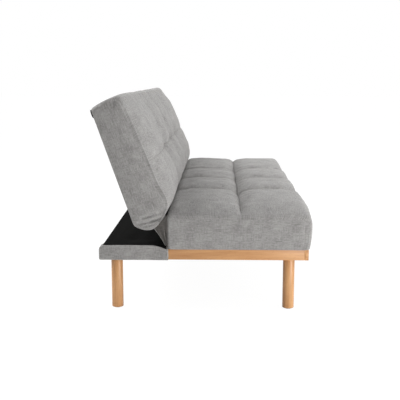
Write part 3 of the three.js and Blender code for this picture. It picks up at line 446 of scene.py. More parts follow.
def seat_section(depth):
    """The seat block's section in depth and height, from its front foot round by the rear."""
    top = SEAT_END_HEIGHT
    seam = (depth - SEAT_SEAM_FROM_REAR, top)
    rear_top, front_top = (depth - SEAT_REAR_ROUND, top), (SEAT_FRONT_ROUND, top)
    rear, front = (depth, top - SEAT_REAR_ROUND), (0.0, top - SEAT_FRONT_ROUND)
    foot = (SEAT_TUCK, 0.0)
    return np.array(
        line(foot, (depth, 0.0))
        + line((depth, 0.0), rear)
        + bend(rear, (depth, top), rear_top, 7)
        + towards(rear_top, seam)
        + [np.array(seam)]
        + towards(front_top, seam)[:0:-1]
        + bend(front_top, (0.0, top), front, 9)
        + bend(front, (0.0, top / 3), foot, 10)
    )


def back_section():
    """The backrest's section: up its flat rear face, over the top, down the front and under."""
    crest = BACK_LENGTH + BACK_TOP_RISE
    top_rear = (crest, BACK_TOP_THICK - BACK_TOP_ROUND)
    top_front = (crest - BACK_TOP_ROUND, BACK_TOP_THICK)
    seam = (BACK_SEAM_UP, BACK_END_THICK)
    upper = ((seam[0] + top_front[0]) / 2, BACK_END_THICK - BACK_TOP_RISE / 3)
    belly = (BACK_BELLY_UP, BACK_BELLY_THICK)
    lower = ((seam[0] + belly[0]) / 2, BACK_END_THICK)
    chin = (-BACK_CHIN_DROP, BACK_CHIN_THICK)
    under = (BACK_CHIN_DROP / 2 - 2 * BACK_BULGE_DROP, BACK_CHIN_THICK / 2)
    return np.array(
        line((0.0, 0.0), (BACK_LENGTH, 0.0))
        + bend((BACK_LENGTH, 0.0), (crest, BACK_TOP_THICK / 3), top_rear, 10)
        + bend(top_rear, (crest, BACK_TOP_THICK), top_front, 8)
        + towards(top_front, seam, upper)
        + [np.array(seam)]
        + towards(belly, seam, lower)[:0:-1]
        + bend(belly, (BACK_BELLY_UP / 4, BACK_BELLY_THICK), chin, 12)
        + bend(chin, under, (0.0, 0.0), 16)
    )


# Padded blocks
def smooth(value):
    t = np.clip(value, 0, 1)
    return t * t * (3 - 2 * t)


def pull_of(gap):
    return np.exp(-gap / SEAM_SLOPE)


def beside_seam(x):
    """How far places along X lie from the nearest cross seam, above 0 on its right."""
    columns = np.array(COLUMNS)
    return x - columns[np.argmin(np.abs(x - columns[:, None]), axis=0)]


def wrinkles(x, p, seed):
    """Faint random folds of the cloth, mostly along the sofa's depth, about 1 deep."""
    draw = np.random.RandomState(seed)
    total = 0.0
    for _ in range(WRINKLES):
        turn = draw.normal(0, WRINKLE_TURN)
        length = draw.uniform(*WRINKLE_LENGTHS)
        phase = draw.uniform(0, 2 * math.pi)
        way = x * math.cos(turn) + p * math.sin(turn)
        along, across = draw.uniform(*WRINKLE_PATCHES, 2)
        patch = np.sin(x * along + p * across + draw.uniform(0, 6))
        total = total + np.sin(way * 2 * math.pi / length + phase) * patch * length
    return WRINKLE_SHARE * total / WRINKLE_LENGTHS[1] / math.sqrt(WRINKLES)


def gathers(along, away, seed):
    """Small folds that run out from a seam, each side with its own."""
    draw = np.random.RandomState(seed)
    total = 0.0
    often, much = GATHER_SWAY
    for length in GATHER_LENGTHS:
        near, far, drift = draw.uniform(0, 2 * math.pi, 3)
        phase = np.where(away > 0, near, far) + np.sin(along * often + drift) * much
        total = total + np.sin(along * 2 * math.pi / length + phase)
    gap = np.abs(away)
    return GATHER_DEPTH * total / 2 * np.exp(-gap / GATHER_REACH) * (1 - np.exp(-gap / CREASE_SLOPE))


def near_line(p, q, start, end, width):
    """How close places are to a line: 1 on it, 0 away from it."""
    start, end = np.array(start), np.array(end)
    way = end - start
    place = np.stack([p, q], -1) - start
    share = np.clip(place @ way / (way @ way), 0, 1)
    gap = np.linalg.norm(place - share[..., None] * way, axis=-1)
    return np.exp(-gap / width)


class Block:
    """A padded block: a section swept along X, pulled down by its seams and crowned between them."""

    def __init__(self, place, section, seam, heights, seam_depths, long_seam, shoulders, top_puff=0.0,
                 bulge=0.0, welt=0.0, creases=(), contact=(0.0, 0.0), seed=1):
        self.place, self.section, self.seam = place, section, seam
        self.end_height, self.crown_height = heights
        self.seam_depths, self.long_seam, self.shoulders = seam_depths, long_seam, shoulders
        self.top_puff, self.bulge, self.welt = top_puff, bulge, welt
        self.creases, self.contact, self.seed = creases, contact, seed
        self.low, self.high = section[:, 0].min(), section[:, 0].max()

    def pull(self, x, p):
        """How deep the seams, their threads and their tufts lie below the padding's crown."""
        depth, edge_depth = self.seam_depths
        aside, above = beside_seam(x), p - self.seam
        column_gap, seam_gap = np.abs(aside), np.abs(above)
        across, lengthwise = pull_of(column_gap), pull_of(seam_gap)
        tied = np.exp(-((column_gap / TUFT_REACH) ** 2))
        cross_depth = depth + (edge_depth - depth) * self.reach(p) ** 2
        kept = self.long_seam + (1 - self.long_seam) * tied
        soft = across * (cross_depth + lengthwise * TUFT_DEPTH) + (1 - across) * lengthwise * depth * kept
        long_crease = np.minimum(LONG_CREASE * kept, 1) * np.exp(-seam_gap / CREASE_SLOPE)
        crease = CREASE_DEPTH * np.maximum(np.exp(-column_gap / CREASE_SLOPE), long_crease)
        around = np.hypot(column_gap, seam_gap)
        pit = PIT_DEPTH * np.exp(-((around / PIT_RADIUS) ** 2))
        pleat = PLEAT_DEPTH * np.cos(PLEATS * np.arctan2(above, column_gap))
        pleat = pleat * np.exp(-around / PLEAT_REACH) * (1 - np.exp(-around / PIT_RADIUS))
        folds = gathers(p, aside, self.seed) + gathers(x, above, self.seed + 1)
        return soft + crease + pit + pleat + folds

    def reach(self, p):
        span = np.where(p > self.seam, self.high - self.seam, self.seam - self.low)
        return (p - self.seam) / span

    def shape(self, x, tuck, p, q, welt=0.0):
        """Where a point of the plain section lies on the padded block, in its own directions."""
        rise = np.minimum(q / self.end_height, 1)
        from_end = np.clip((HALF - np.abs(x)) / END_SLOPE, 0, 1)
        ease = 1 - (1 - from_end) ** 2
        pull = self.pull(x, p) - WRINKLE_DEPTH * wrinkles(x, p, self.seed)
        lift = (self.crown_height - self.end_height - pull) * ease * self.shoulders(p)
        drawn = SIDE_DRAW * pull_of(np.abs(beside_seam(x))) * rise
        narrow = 1 - 2 * (tuck + drawn) / (self.high - self.low)
        middle = (self.low + self.high) / 2
        upward = self.top_puff * ease * smooth(self.reach(p)) * rise
        ridge = welt * np.clip(rise, 0, 1) ** 6
        touch = self.contact[1] * np.exp(-(((p - self.contact[0]) / CONTACT_REACH) ** 2))
        lifted = lift * np.clip(rise, 0, 1) ** 2 + ridge + touch * rise**4
        along = x + np.sign(x) * ridge
        outward = q * (1 - tuck / self.end_height) + lifted
        return np.stack([along, middle + (p - middle) * narrow + upward, outward], axis=-1)

    def stations(self):
        """Where the rings lie along X, how far each is drawn in, and how much of the welt it has."""
        ends = [-HALF + END_ROUND, *COLUMNS, HALF - END_ROUND]
        shares = (1 - np.cos(np.pi * np.arange(SPAN_STEPS) / SPAN_STEPS)) / 2
        found = [(a + (b - a) * share, 0.0, 0.0) for a, b in zip(ends, ends[1:]) for share in shares]
        found.append((ends[-1], 0.0, 0.0))
        for step in range(1, END_RINGS + 1):
            angle = math.radians(END_TURN) * step / END_RINGS
            out = HALF - END_ROUND + END_ROUND * math.sin(angle)
            tuck = END_ROUND * (1 - math.cos(angle))
            welt = self.welt * WELT_SHARES.get(step, 0)
            found.append((out, tuck, welt))
            found.insert(0, (-out, tuck, welt))
        return found

    def rings(self):
        """The rings along X, then those that close each end."""
        p, q = self.section[:, 0], self.section[:, 1]
        rings = []
        for x, tuck, welt in self.stations():
            ring = self.shape(np.full(len(p), x), tuck, p, q, welt)
            ring[:, 0] -= np.sign(x) * smooth(tuck / END_ROUND * 2) * creased(ring, self.creases)
            rings.append(ring)
        first, last = (
            closing(ring, side, self.bulge, self.creases) for ring, side in ((rings[0], -1), (rings[-1], 1))
        )
        return first[::-1], rings, last


def creased(ring, creases):
    """How deep the creases in a block's end are at each point."""
    depth = np.zeros(len(ring))
    for start, end, deep, width in creases:
        depth = np.maximum(depth, deep * near_line(ring[:, 1], ring[:, 2], start, end, width))
    return depth


def closing(ring, side, bulge, creases=()):
    """Rings that shrink an end's outline to its middle line, over a slightly full end face."""
    low, high = ring.min(0), ring.max(0)
    half = (high[2] - low[2]) / 2
    near, far = low[1] + half, high[1] - half
    if near > far:
        near = far = (near + far) / 2
    core = ring.copy()
    core[:, 1] = np.clip(ring[:, 1], near, far)
    core[:, 2] = low[2] + half
    rings = []
    for step in range(1, CAP_RINGS + 1):
        share = step / CAP_RINGS
        found = ring + (core - ring) * share
        found[:, 0] = ring[:, 0] + side * bulge * math.sin(share * math.pi / 2)
        found[:, 0] += side * (creased(ring, creases) - creased(found, creases))
        rings.append(found)
    return rings


# Meshes
def unit(ways):
    """Directions of length 1."""
    return ways / np.linalg.norm(ways, axis=-1, keepdims=True)


def run_along(path):
    """How far along a path each of its points lies."""
    steps = np.linalg.norm(np.diff(path, axis=0), axis=1)
    return np.concatenate([[0.0], np.cumsum(steps)])


def run_around(outline):
    """The same for a closed outline, with its whole length at the end."""
    return run_along(np.vstack([outline, outline[:1]]))


def placed(points, place):
    """Points in a block's own directions, taken to their places on the sofa."""
    return points @ np.array(place.to_3x3()).T + np.array(place.translation)


def tube_faces(rings, sides):
    """The faces of a closed tube through rings of points, with a flat face at each end."""
    faces = [
        (r * sides + i, r * sides + (i + 1) % sides, (r + 1) * sides + (i + 1) % sides, (r + 1) * sides + i)
        for r in range(rings - 1)
        for i in range(sides)
    ]
    last = (rings - 1) * sides
    return faces + [tuple(range(sides)), tuple(range(last, last + sides))]


def swept(name, first, middle, last, arc, place=Matrix(), plain=None):
    """A closed piece through rings of points, with a flat map of its cloth in metres."""
    rings = np.array([*first, *middle, *last])
    count, points = rings.shape[:2]
    corners = rings.reshape(-1, 3)
    faces, maps = tube_faces(count, points)[:-2], []
    for quad in faces:
        r, i = divmod(quad[0], points)
        if len(first) <= r < count - len(last) - 1:
            x0, x1 = rings[r : r + 2, i, 0]
            maps.append([(x0, arc[i]), (x0, arc[i + 1]), (x1, arc[i + 1]), (x1, arc[i])])
        else:
            maps.append([corners[k][1:] for k in quad])
    return new_piece(name, placed(corners, place), faces, maps, plain)


def block_mesh(name, block):
    """The block's mesh, which keeps each point's place on the plain section."""
    first, middle, last = block.rings()
    plain = np.array([*first, *middle, *last])
    plain[:, :, 1:] = block.section
    return swept(
        name, first, middle, last, run_around(block.section), block.place, plain.reshape(-1, 3)
    )


def new_piece(name, points, faces, maps, plain=None):
    """A smooth mesh object from points, faces and, for each face's corners, places on its map."""
    mesh = bpy.data.meshes.new(name)
    mesh.from_pydata(np.asarray(points, float).tolist(), [], [list(map(int, face)) for face in faces])
    layer = mesh.uv_layers.new(name="cloth")
    layer.data.foreach_set("uv", np.asarray(maps, np.float32).ravel())
    if plain is not None:
        kept = mesh.attributes.new("plain", "FLOAT_VECTOR", "POINT")
        kept.data.foreach_set("vector", plain.astype(np.float32).ravel())
    piece = bpy.data.objects.new(name, mesh)
    bpy.context.scene.collection.objects.link(piece)
    weld(piece)
    return piece


def weld(piece):
    """Joins points that meet, turns the faces outwards and smooths the shading."""
    work = bmesh.new()
    work.from_mesh(piece.data)
    bmesh.ops.remove_doubles(work, verts=work.verts, dist=SAME_PLACE)
    unused = [place for place in work.verts if not place.link_faces]
    bmesh.ops.delete(work, geom=unused, context="VERTS")
    bmesh.ops.recalc_face_normals(work, faces=work.faces)
    work.to_mesh(piece.data)
    work.free()
    for polygon in piece.data.polygons:
        polygon.use_smooth = True


def vectors(rows, name):
    found = np.zeros(len(rows) * 3, np.float32)
    rows.foreach_get(name, found)
    return found.reshape(-1, 3).astype(float)


def plain_places(piece):
    """Each point's place on the plain section: along the sofa, in depth and in height."""
    return vectors(piece.data.attributes["plain"].data, "vector").T


def settle(piece, held):
    """Lets the cover settle as real cloth over its padding. It is held where held is 1."""
    rest = vectors(piece.data.vertices, "co")
    group = piece.vertex_groups.new(name="held")
    for index in np.nonzero(held > HELD_LEAST)[0]:
        group.add([int(index)], float(held[index]), "REPLACE")
    cloth_step = piece.modifiers.new("cloth", "CLOTH")
    settings = cloth_step.settings
    settings.quality = 5
    settings.mass = 0.25
    settings.tension_stiffness = settings.compression_stiffness = 12
    settings.bending_stiffness = 0.4
    settings.shrink_min = -0.012
    settings.use_pressure = True
    settings.uniform_pressure_force = 3.5
    settings.effector_weights.gravity = 0
    settings.vertex_group_mass = "held"
    cloth_step.collision_settings.use_collision = False
    cloth_step.point_cache.frame_end = SETTLE_FRAMES
    scene = bpy.context.scene
    for step in range(1, SETTLE_FRAMES + 1):
        scene.frame_set(step)
    settled = piece.evaluated_get(bpy.context.evaluated_depsgraph_get()).data
    moved = vectors(settled.vertices, "co") - rest
    far = np.linalg.norm(moved, axis=1, keepdims=True)
    moved *= SETTLE_CAP * np.tanh(far / SETTLE_CAP) / np.maximum(far, 1e-9)
    moved *= (1 - held)[:, None]
    piece.modifiers.clear()
    piece.vertex_groups.clear()
    scene.frame_set(1)
    piece.data.vertices.foreach_set("co", (rest + moved).astype(np.float32).ravel())
    piece.data.update()


def held_by(piece, block, span):
    """Where the cover is held: at its seams, its ends, its foot and outside a span of its depth."""
    x, p, q = plain_places(piece)
    start, reach, end = span
    gap = np.minimum(np.abs(beside_seam(x)), np.abs(p - block.seam))
    seam = np.exp(-((gap / CREASE_SLOPE) ** 2))
    loose = smooth(q / block.end_height * 2 - 1) * smooth((HALF - np.abs(x) - 2 * END_ROUND) / END_SLOPE)
    loose = loose * smooth((p - start) / reach) * smooth((end - p) / LOOSE_REACH)
    return np.clip(np.maximum(seam, 1 - loose), 0, 1)


def sharpen(piece, block):
    """Keeps the seams sharp when the surface is refined, and refines it once."""
    x, p, q = plain_places(piece)
    upper = q > block.end_height / 2
    on_column = upper & (np.abs(beside_seam(x)) < SAME_PLACE)
    on_seam = upper & (np.abs(p - block.seam) < SAME_PLACE)
    creases = piece.data.attributes.new("crease_edge", "FLOAT", "EDGE")
    a, b = np.array([edge.vertices for edge in piece.data.edges]).T
    sharp = (on_column[a] & on_column[b]) | (on_seam[a] & on_seam[b])
    creases.data.foreach_set("value", sharp.astype(np.float32))
    piece.data.attributes.remove(piece.data.attributes["plain"])
    refine = piece.modifiers.new("refine", "SUBSURF")
    refine.levels = refine.render_levels = 1


def seam_lines(block):
    """The block's stitched lines, as places along X, in depth and in height on the plain section."""
    p, q = block.section[:, 0], block.section[:, 1]
    shown = block.section[q > SEAM_FOOT * block.end_height]
    for column in COLUMNS:
        yield np.full(len(shown), column), shown[:, 0], shown[:, 1]
    along_x = np.linspace(-HALF + 2 * END_ROUND, HALF - 2 * END_ROUND, LONG_SEAM_POINTS)
    height = q[np.argmin(np.abs(p - block.seam))]
    yield along_x, np.full_like(along_x, block.seam), np.full_like(along_x, height)


def stitches(name, block, body):
    """Rows of small thread stitches that lie in the seams."""
    points, faces = [], []
    tube = tube_faces(len(THREAD_RINGS), THREAD_SIDES)
    for x, p, q in seam_lines(block):
        path = block.shape(x, 0.0, p, q)
        run = run_along(path)
        for middle in np.arange(STITCH_PITCH, run[-1], STITCH_PITCH):
            ends = [
                [np.interp(middle + share * STITCH_LENGTH, run, axis) for axis in path.T]
                for share in (-0.5, 0.5)
            ]
            way = unit(np.subtract(ends[1], ends[0]))
            side = unit(np.cross(way, (0, 0, 1) if abs(way[2]) < 0.9 else (0, 1, 0)))
            over = np.cross(side, way)
            centre = np.mean(ends, axis=0) + over * THREAD_RADIUS / 2
            faces += [[len(points) + k for k in face] for face in tube]
            for share, wide in THREAD_RINGS:
                for i in range(THREAD_SIDES):
                    angle = 2 * math.pi * i / THREAD_SIDES
                    off = (side * math.cos(angle) + over * math.sin(angle)) * THREAD_RADIUS * wide
                    points.append(centre + way * share * STITCH_LENGTH + off)
    maps = [points[k][:2] for face in faces for k in face]
    piece = new_piece(name, placed(np.array(points), block.place), faces, maps)
    dress(piece, THREAD, body, "cloth")


def dress(piece, material, body, slot, *nodes):
    """Gives a piece its material, attaches it to the body it rides on and hides the nodes it stands for."""
    piece.data.materials.append(material)
    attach(piece, body)
    if nodes:
        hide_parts(*nodes)
    return piece


# Covers of the two blocks
def seat_shoulders(p):
    share = smooth((SEAT_DEPTH - p) / (2 * SEAT_REAR_ROUND))
    return SEAT_REAR_SHOULDER + (1 - SEAT_REAR_SHOULDER) * share


def back_shoulders(p):
    top = smooth((BACK_LENGTH + BACK_TOP_RISE - p) / (4 * BACK_TOP_ROUND))
    chin = smooth((p + BACK_CHIN_DROP) / (2 * BACK_BELLY_UP))
    return (BACK_TOP_SHOULDER + (1 - BACK_TOP_SHOULDER) * top) * (
        BACK_CHIN_SHOULDER + (1 - BACK_CHIN_SHOULDER) * chin
    )


def cover(name, block, body, span):
    """A block's cover, settled within a span of its depth, and its stitches."""
    piece = block_mesh(f"{name}_cover", block)
    settle(piece, held_by(piece, block, span))
    sharpen(piece, block)
    dress(piece, GREY_CLOTH, body, "cloth", f"{name}_cushion")
    stitches(f"{name}_stitches", block, body)


def seat_cover():
    block = Block(
        SEAT_PLACE, seat_section(SEAT_DEPTH), SEAT_DEPTH - SEAT_SEAM_FROM_REAR,
        (SEAT_END_HEIGHT, SEAT_CROWN_HEIGHT), SEAT_SEAM_DEPTHS, SEAT_LONG_SEAM, seat_shoulders,
        bulge=SEAT_END_BULGE, creases=SEAT_CREASES, seed=5,
    )
    cover("seat", block, "base", (0.0, LOOSE_REACH, SEAT_DEPTH))


def back_cover():
    block = Block(
        BACK_PLACE, back_section(), BACK_SEAM_UP,
        (BACK_END_THICK, BACK_CROWN_THICK), BACK_SEAM_DEPTHS, BACK_LONG_SEAM, back_shoulders,
        top_puff=BACK_TOP_PUFF, bulge=BACK_END_BULGE, welt=WELT_RISE, creases=BACK_CREASES,
        contact=BACK_CONTACT, seed=11,
    )
    cover("back", block, "backrest", (*BACK_LOOSE, BACK_LENGTH))


# Thin cloths
def grid_sheet(name, xs, ys, height, place=Matrix()):
    """A thin closed sheet over a grid of places, with its upper face at heights that follow from them."""
    columns, rows = np.meshgrid(xs, ys, indexing="ij")
    top = height(columns, rows)
    layers = [
        np.stack([columns, rows, top - thick], -1).reshape(-1, 3) for thick in (0, SHEET_THICK)
    ]
    points = np.concatenate(layers)
    wide, deep = columns.shape
    index = np.arange(wide * deep).reshape(wide, deep)
    corners = index[:-1, :-1], index[1:, :-1], index[1:, 1:], index[:-1, 1:]
    upper = np.stack(corners, -1).reshape(-1, 4)
    rim = np.concatenate([index[:, 0], index[-1, 1:], index[-2::-1, -1], index[0, -2:0:-1]])
    after = np.roll(rim, -1)
    lower = upper[:, ::-1] + wide * deep
    edge = np.stack([after, rim, rim + wide * deep, after + wide * deep], -1)
    faces = np.concatenate([upper, lower, edge])
    maps = points[faces][:, :, :2]
    return new_piece(name, placed(points, place), faces, maps)


def between(place, low, high):
    """0 at both limits, rising smoothly to 1 between them."""
    return smooth((place - low) / LINING_BEND) * smooth((high - place) / LINING_BEND)


def ripple(x, y, waves):
    """An unevenness about 1, with so many radians a metre along X and in depth."""
    return 1 + LINING_RIPPLE * np.sin(x * waves[0] + y * waves[1])


def base_sheet(name, node, grid, height):
    """A black cloth that stands for a node of the base and is stretched over other pieces."""
    low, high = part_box(node)
    piece = grid_sheet(
        name, np.linspace(low.x, high.x, grid[0]), np.linspace(low.y, high.y, grid[1]), height
    )
    dress(piece, BLACK_LINING, "base", "black_lining", node)


def rear_lining():
    """The black cloth over the rear frame, which sags a little between the wood that carries it."""
    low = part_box("rear_lining")[0]
    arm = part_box("rear_arm_cover_right")[0].x
    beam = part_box("rear_beam_cover")[0].y
    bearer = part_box("rear_bearer")[1].x

    def height(x, y):
        along = np.abs(x)
        bay = between(along, bearer, arm) * between(y, low.y, beam)
        folds = np.sin(y * 90 + 2 * np.sin(x * 7)) * smooth((along - FOLD_START * arm) / LINING_BEND)
        sag = bay * (LINING_SAG * ripple(x, y, (13, 21)) + LINING_FOLD * folds)
        return low.z - LINING_DROP + SHEET_THICK - sag

    base_sheet("rear_lining_cloth", "rear_lining", LINING_GRID, height)


def lining_and_shade_flaps():
    """The lining's folded corners over the arms' outer faces beside the seat, also painted shade for the gusset's
    shadow there.
    """
    arm, _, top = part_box("rear_arm_cover_right")[1]
    for side, sign in SIDES:

        def place(share, down):
            y = SEAT_HIGH.y + FLAP_START + FLAP_LENGTH * share
            z = top + SHEET_THICK / 2 - FLAP_DEPTH * (1 - share) ** FLAP_TAPER * down
            out = FLAP_OUT * min(1, 4 * down) - WRAP_EDGE * (down == 0)
            return (sign * (arm + out), y, z), (y, z)

        shares = (np.linspace(0, 1, steps) for steps in FLAP_STEPS)
        piece = sheet_of(f"lining_and_shade_flap_{side}", *shares, place)
        # Painted shade: partly black lining, partly the black of the gusset's shadow on the arm.
        dress(piece, BLACK_LINING, "base", "black_lining")


def dust_cover():
    """The black cloth under the seat, which hangs slightly between the bearers."""
    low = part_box("seat_dust_cover")[0]
    inner, outer = (corner.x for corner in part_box("seat_bearer_right"))
    front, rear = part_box("front_rail")[1].y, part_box("cross_rail")[0].y
    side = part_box("side_rail_right")[0].x

    def height(x, y):
        along = np.abs(x)
        middle = smooth((inner - along) / LINING_BEND)
        hang = np.where(along < inner, middle, between(along, outer, side)) * between(y, front, rear)
        return low.z - DUST_DROP + SHEET_THICK - hang * DUST_SAG * ripple(x, y, (11, 17))

    base_sheet("seat_dust_cloth", "seat_dust_cover", DUST_GRID, height)


def rear_panel():
    """The cloth panel on the backrest's rear, with its folded edge sewn down."""
    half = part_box("back_rear_panel")[1].x
    low, high = PANEL_MARGIN, BACK_LENGTH - PANEL_MARGIN

    def rear(x, p):
        edge = np.minimum(np.minimum(half - np.abs(x), p - low), high - p)
        middle = 1 - np.abs(smooth(edge / PANEL_HEM) - 0.5) * 2
        inside = smooth((edge - PANEL_HEM / 2) / PANEL_HEM)
        return SHEET_THICK - PANEL_RISE * (1 - PANEL_LIFTS[0] * inside - PANEL_LIFTS[1] * middle)

    xs, ups = edged(-half, half, PANEL_GRID[0]), edged(low, high, PANEL_GRID[1])
    piece = grid_sheet("back_panel_cloth", xs, ups, rear, BACK_PLACE)
    dress(piece, GREY_CLOTH, "backrest", "cloth", "back_rear_panel")
    for side, sign in SIDES:
        corner_tab(side, sign)


def corner_tab(side, sign):
    """The dark folded end of the rear panel's top hem, which stands out a little at the corner."""
    low, high = TAB_SPAN
    turns = np.linspace(0, 2 * math.pi, TAB_SIDES, endpoint=False)
    rings = []
    for inset, share in ((TAB_LENGTH, 0.5), (TAB_LENGTH - TAB_THICK, 1.0), (TAB_THICK, 1.0), (0, 0.6)):
        x = HALF - TAB_INSET - inset
        up = (low + high + (high - low) * share * np.cos(turns)) / 2
        back = TAB_THICK / 2 * (share * np.sin(turns) - 1)
        rings.append(np.column_stack([np.full(TAB_SIDES, sign * x), up, back]))
    dress(capped(f"corner_tab_{side}", rings, BACK_PLACE), BLACK_LINING, "backrest", "black_lining")


def edged(low, high, count):
    """Places from low to high, with more of them at a hem."""
    hems = np.linspace(0, 2 * PANEL_HEM, HEM_STEPS)
    return np.concatenate([low + hems, np.linspace(low, high, count)[4:-4], high - hems[::-1]])


def capped(name, rings, place=Matrix(), axes=(0, 1)):
    """A closed piece through rings of points, with a flat face at each end and a map along two axes."""
    points = placed(np.array(rings).reshape(-1, 3), place)
    faces = tube_faces(len(rings), len(rings[0]))
    return new_piece(name, points, faces, [points[k][list(axes)] for face in faces for k in face])


def sheet_of(name, us, vs, place, notched=None):
    """A sheet thickened on both sides. place gives a point and its map from one of us and one of vs."""
    vs = list(vs)
    points, maps = zip(*(place(u, v) for u in us for v in vs))
    rows = len(vs)
    faces = [
        (i + j, i + rows + j, i + rows + j + 1, i + j + 1)
        for i in range(0, len(points) - rows, rows)
        for j in range(rows - 1)
        if notched is None or not notched(points[i + j][0], j / (rows - 1))
    ]
    piece = new_piece(name, points, faces, [[maps[k] for k in face] for face in faces])
    step = piece.modifiers.new("thick", "SOLIDIFY")
    step.thickness = SHEET_THICK
    step.offset = 0
    return piece


def cross_hinge(piece, material):
    """Gives a cloth between seat and backrest its material and bakes its placement into its points."""
    piece.data.materials.append(material)
    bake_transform(piece)


def gap_cloth():
    """The strip between seat and backrest, notched at the pawls, and the gussets at its ends, in cloth painted
    darker as shade.
    """
    rear, hinge = SEAT_HIGH.y, PIVOT.z
    half = HALF - GAP_INSET
    top = np.array((rear + GAP_TOP[0], hinge + GAP_TOP[1]))
    foot = np.array((rear + GAP_FOOT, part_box("rear_lining")[1].z + SHEET_THICK))
    corner = (top + foot) / 2 + np.array((GAP_SAG, -GAP_SAG))
    path = np.array(curve(top, corner, foot, np.linspace(0, 1, GAP_ROWS)))
    run = run_along(path)

    def place(x, row):
        (y, z), along = path[row], run[row]
        slack = GAP_SLACK * math.sin(x * 23 + along * 30) * math.sin(math.pi * along / run[-1])
        return (x, y + slack, z - slack), (x, along)

    inner, outer = (corner.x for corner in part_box("pawl_right"))

    def notched(x, share):
        beside = inner - GAP_NOTCH < abs(x + GAP_STEP / 2) < outer + GAP_NOTCH
        return beside and share < GAP_NOTCH_SHARE

    xs = np.linspace(-half, half, round(2 * half / GAP_STEP) + 1)
    piece = sheet_of("gap_cloth", xs, range(GAP_ROWS), place, notched)
    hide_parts("gap_strip")
    # Painted shade: the strip's darker cloth stands for its shadow between seat and backrest.
    cross_hinge(piece, PAINTED_SHADE_CLOTH)
    corners = [np.array((rear + y, hinge + z)) for y, z in (GUSSET_PEAK, GUSSET_TIP, GUSSET_BACK)]
    for side, sign in SIDES:
        gusset(side, sign, *corners)


def gusset(side, sign, peak, tip, back):
    """A triangle of cloth, painted dark as shade, that closes an end of the gap, with a rolled hem on its free
    edge.
    """
    steps = np.linspace(0, 1, GUSSET_STEPS)
    edges = HALF - np.interp(steps, (0, 1), GUSSET_INSETS)
    free = np.array(curve(back, (back + tip) / 2 + np.array(GUSSET_HOLLOW), tip, steps))

    def place(row, across):
        front = peak + (tip - peak) * steps[row]
        y, z = front + (free[row] - front) * across
        fold = GUSSET_FOLD * math.sin(GUSSET_WAVES * across) * math.sin(math.pi * steps[row])
        return (sign * (edges[row] + fold), y, z), (y, z)

    piece = sheet_of(f"gusset_{side}", range(GUSSET_STEPS), steps, place)
    # Painted shade: the gusset's darker cloth stands for its shadow under the backrest.
    cross_hinge(piece, PAINTED_SHADE_CLOTH)
    hem = rolled_hem(side, sign * edges, free)
    cross_hinge(hem, GREY_CLOTH)


def rolled_hem(side, xs, path):
    """A round roll of cloth along a path, given by places along X, and in depth and height."""
    ahead = unit(np.gradient(path, axis=0))
    turns = np.linspace(0, 2 * math.pi, HEM_SIDES, endpoint=False)
    off, out = HEM_RADIUS * np.cos(turns), HEM_RADIUS * np.sin(turns)
    rings = [
        np.column_stack([x + out, y + dz * off, z - dy * off])
        for x, (y, z), (dy, dz) in zip(xs, path, ahead)
    ]
    return capped(f"gusset_hem_{side}", rings, axes=(1, 2))


# Padded cloth round the rear frame
def rounded(corners, rounds):
    """A closed outline through corners, each rounded off by its own radius."""
    corners = np.array(corners)
    found, last = [], None
    for i, (corner, radius) in enumerate(zip(corners, rounds)):
        start = corner + unit(corners[i - 1] - corner) * radius
        end = corner + unit(corners[(i + 1) % len(corners)] - corner) * radius
        if last is not None:
            found += line(last, start)
        found += bend(start, corner, end, ROUND_STEPS)
        last = end
    return np.array(found + line(last, found[0]))


def wrapped(node, outline, seed):
    """Cloth stretched round a padded bar of the rear frame, with soft edges at its ends."""
    x0, x1 = (corner.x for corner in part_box(node))
    way = unit(np.roll(outline, -1, axis=0) - np.roll(outline, 1, axis=0))
    inward = np.stack([-way[:, 1], way[:, 0]], -1)
    arc = run_around(outline)
    turns = [(math.sin(a), 1 - math.cos(a)) for a in np.radians(np.linspace(END_TURN, 0, WRAP_STEPS))]
    stations = [(x0 + WRAP_EDGE * (1 - out), WRAP_EDGE * tuck) for out, tuck in turns]
    count = max(3, round((x1 - x0 - 2 * WRAP_EDGE) / POINT_STEP))
    stations += [(x, 0.0) for x in np.linspace(x0 + WRAP_EDGE, x1 - WRAP_EDGE, count)[1:-1]]
    stations += [(x1 - WRAP_EDGE * (1 - out), WRAP_EDGE * tuck) for out, tuck in turns[::-1]]
    rings = []
    for x, tuck in stations:
        ripple = WRAP_RIPPLE * (1 + wrinkles(np.full(len(outline), x), arc[:-1], seed))
        section = outline + inward * (tuck + ripple)[:, None]
        rings.append(np.column_stack([np.full(len(outline), x), section]))
    first, last = closing(rings[0], -1, WRAP_BULGE)[::-1], closing(rings[-1], 1, WRAP_BULGE)
    piece = swept(node.replace("cover", "cloth"), first, rings, last, arc)
    dress(piece, GREY_CLOTH, "base", "cloth", node)


def rear_wraps():
    """The cloth round the rear frame's arms, which reach under the seat, and round its beam."""
    step = (SEAT_HIGH.y + SHEET_THICK, SEAT_LOW.z - SHEET_THICK)
    rounds = (WRAP_EDGE, ARM_HEEL, ARM_ROUND, WRAP_EDGE, STEP_ROUND, STEP_ROUND)
    for (side, _), seed in zip(SIDES, WRAP_SEEDS):
        node = f"rear_arm_cover_{side}"
        low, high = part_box(node)
        corners = (
            (low.y, low.z), (high.y, low.z), (high.y, high.z), (step[0], high.z), step, (low.y, step[1])
        )
        wrapped(node, rounded(corners, rounds), seed)
    low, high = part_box("rear_beam_cover")
    corners = ((low.y, low.z), (high.y, low.z), (high.y, high.z), (low.y, high.z))
    wrapped("rear_beam_cover", rounded(corners, (WRAP_EDGE,) * 4), WRAP_SEEDS[-1])


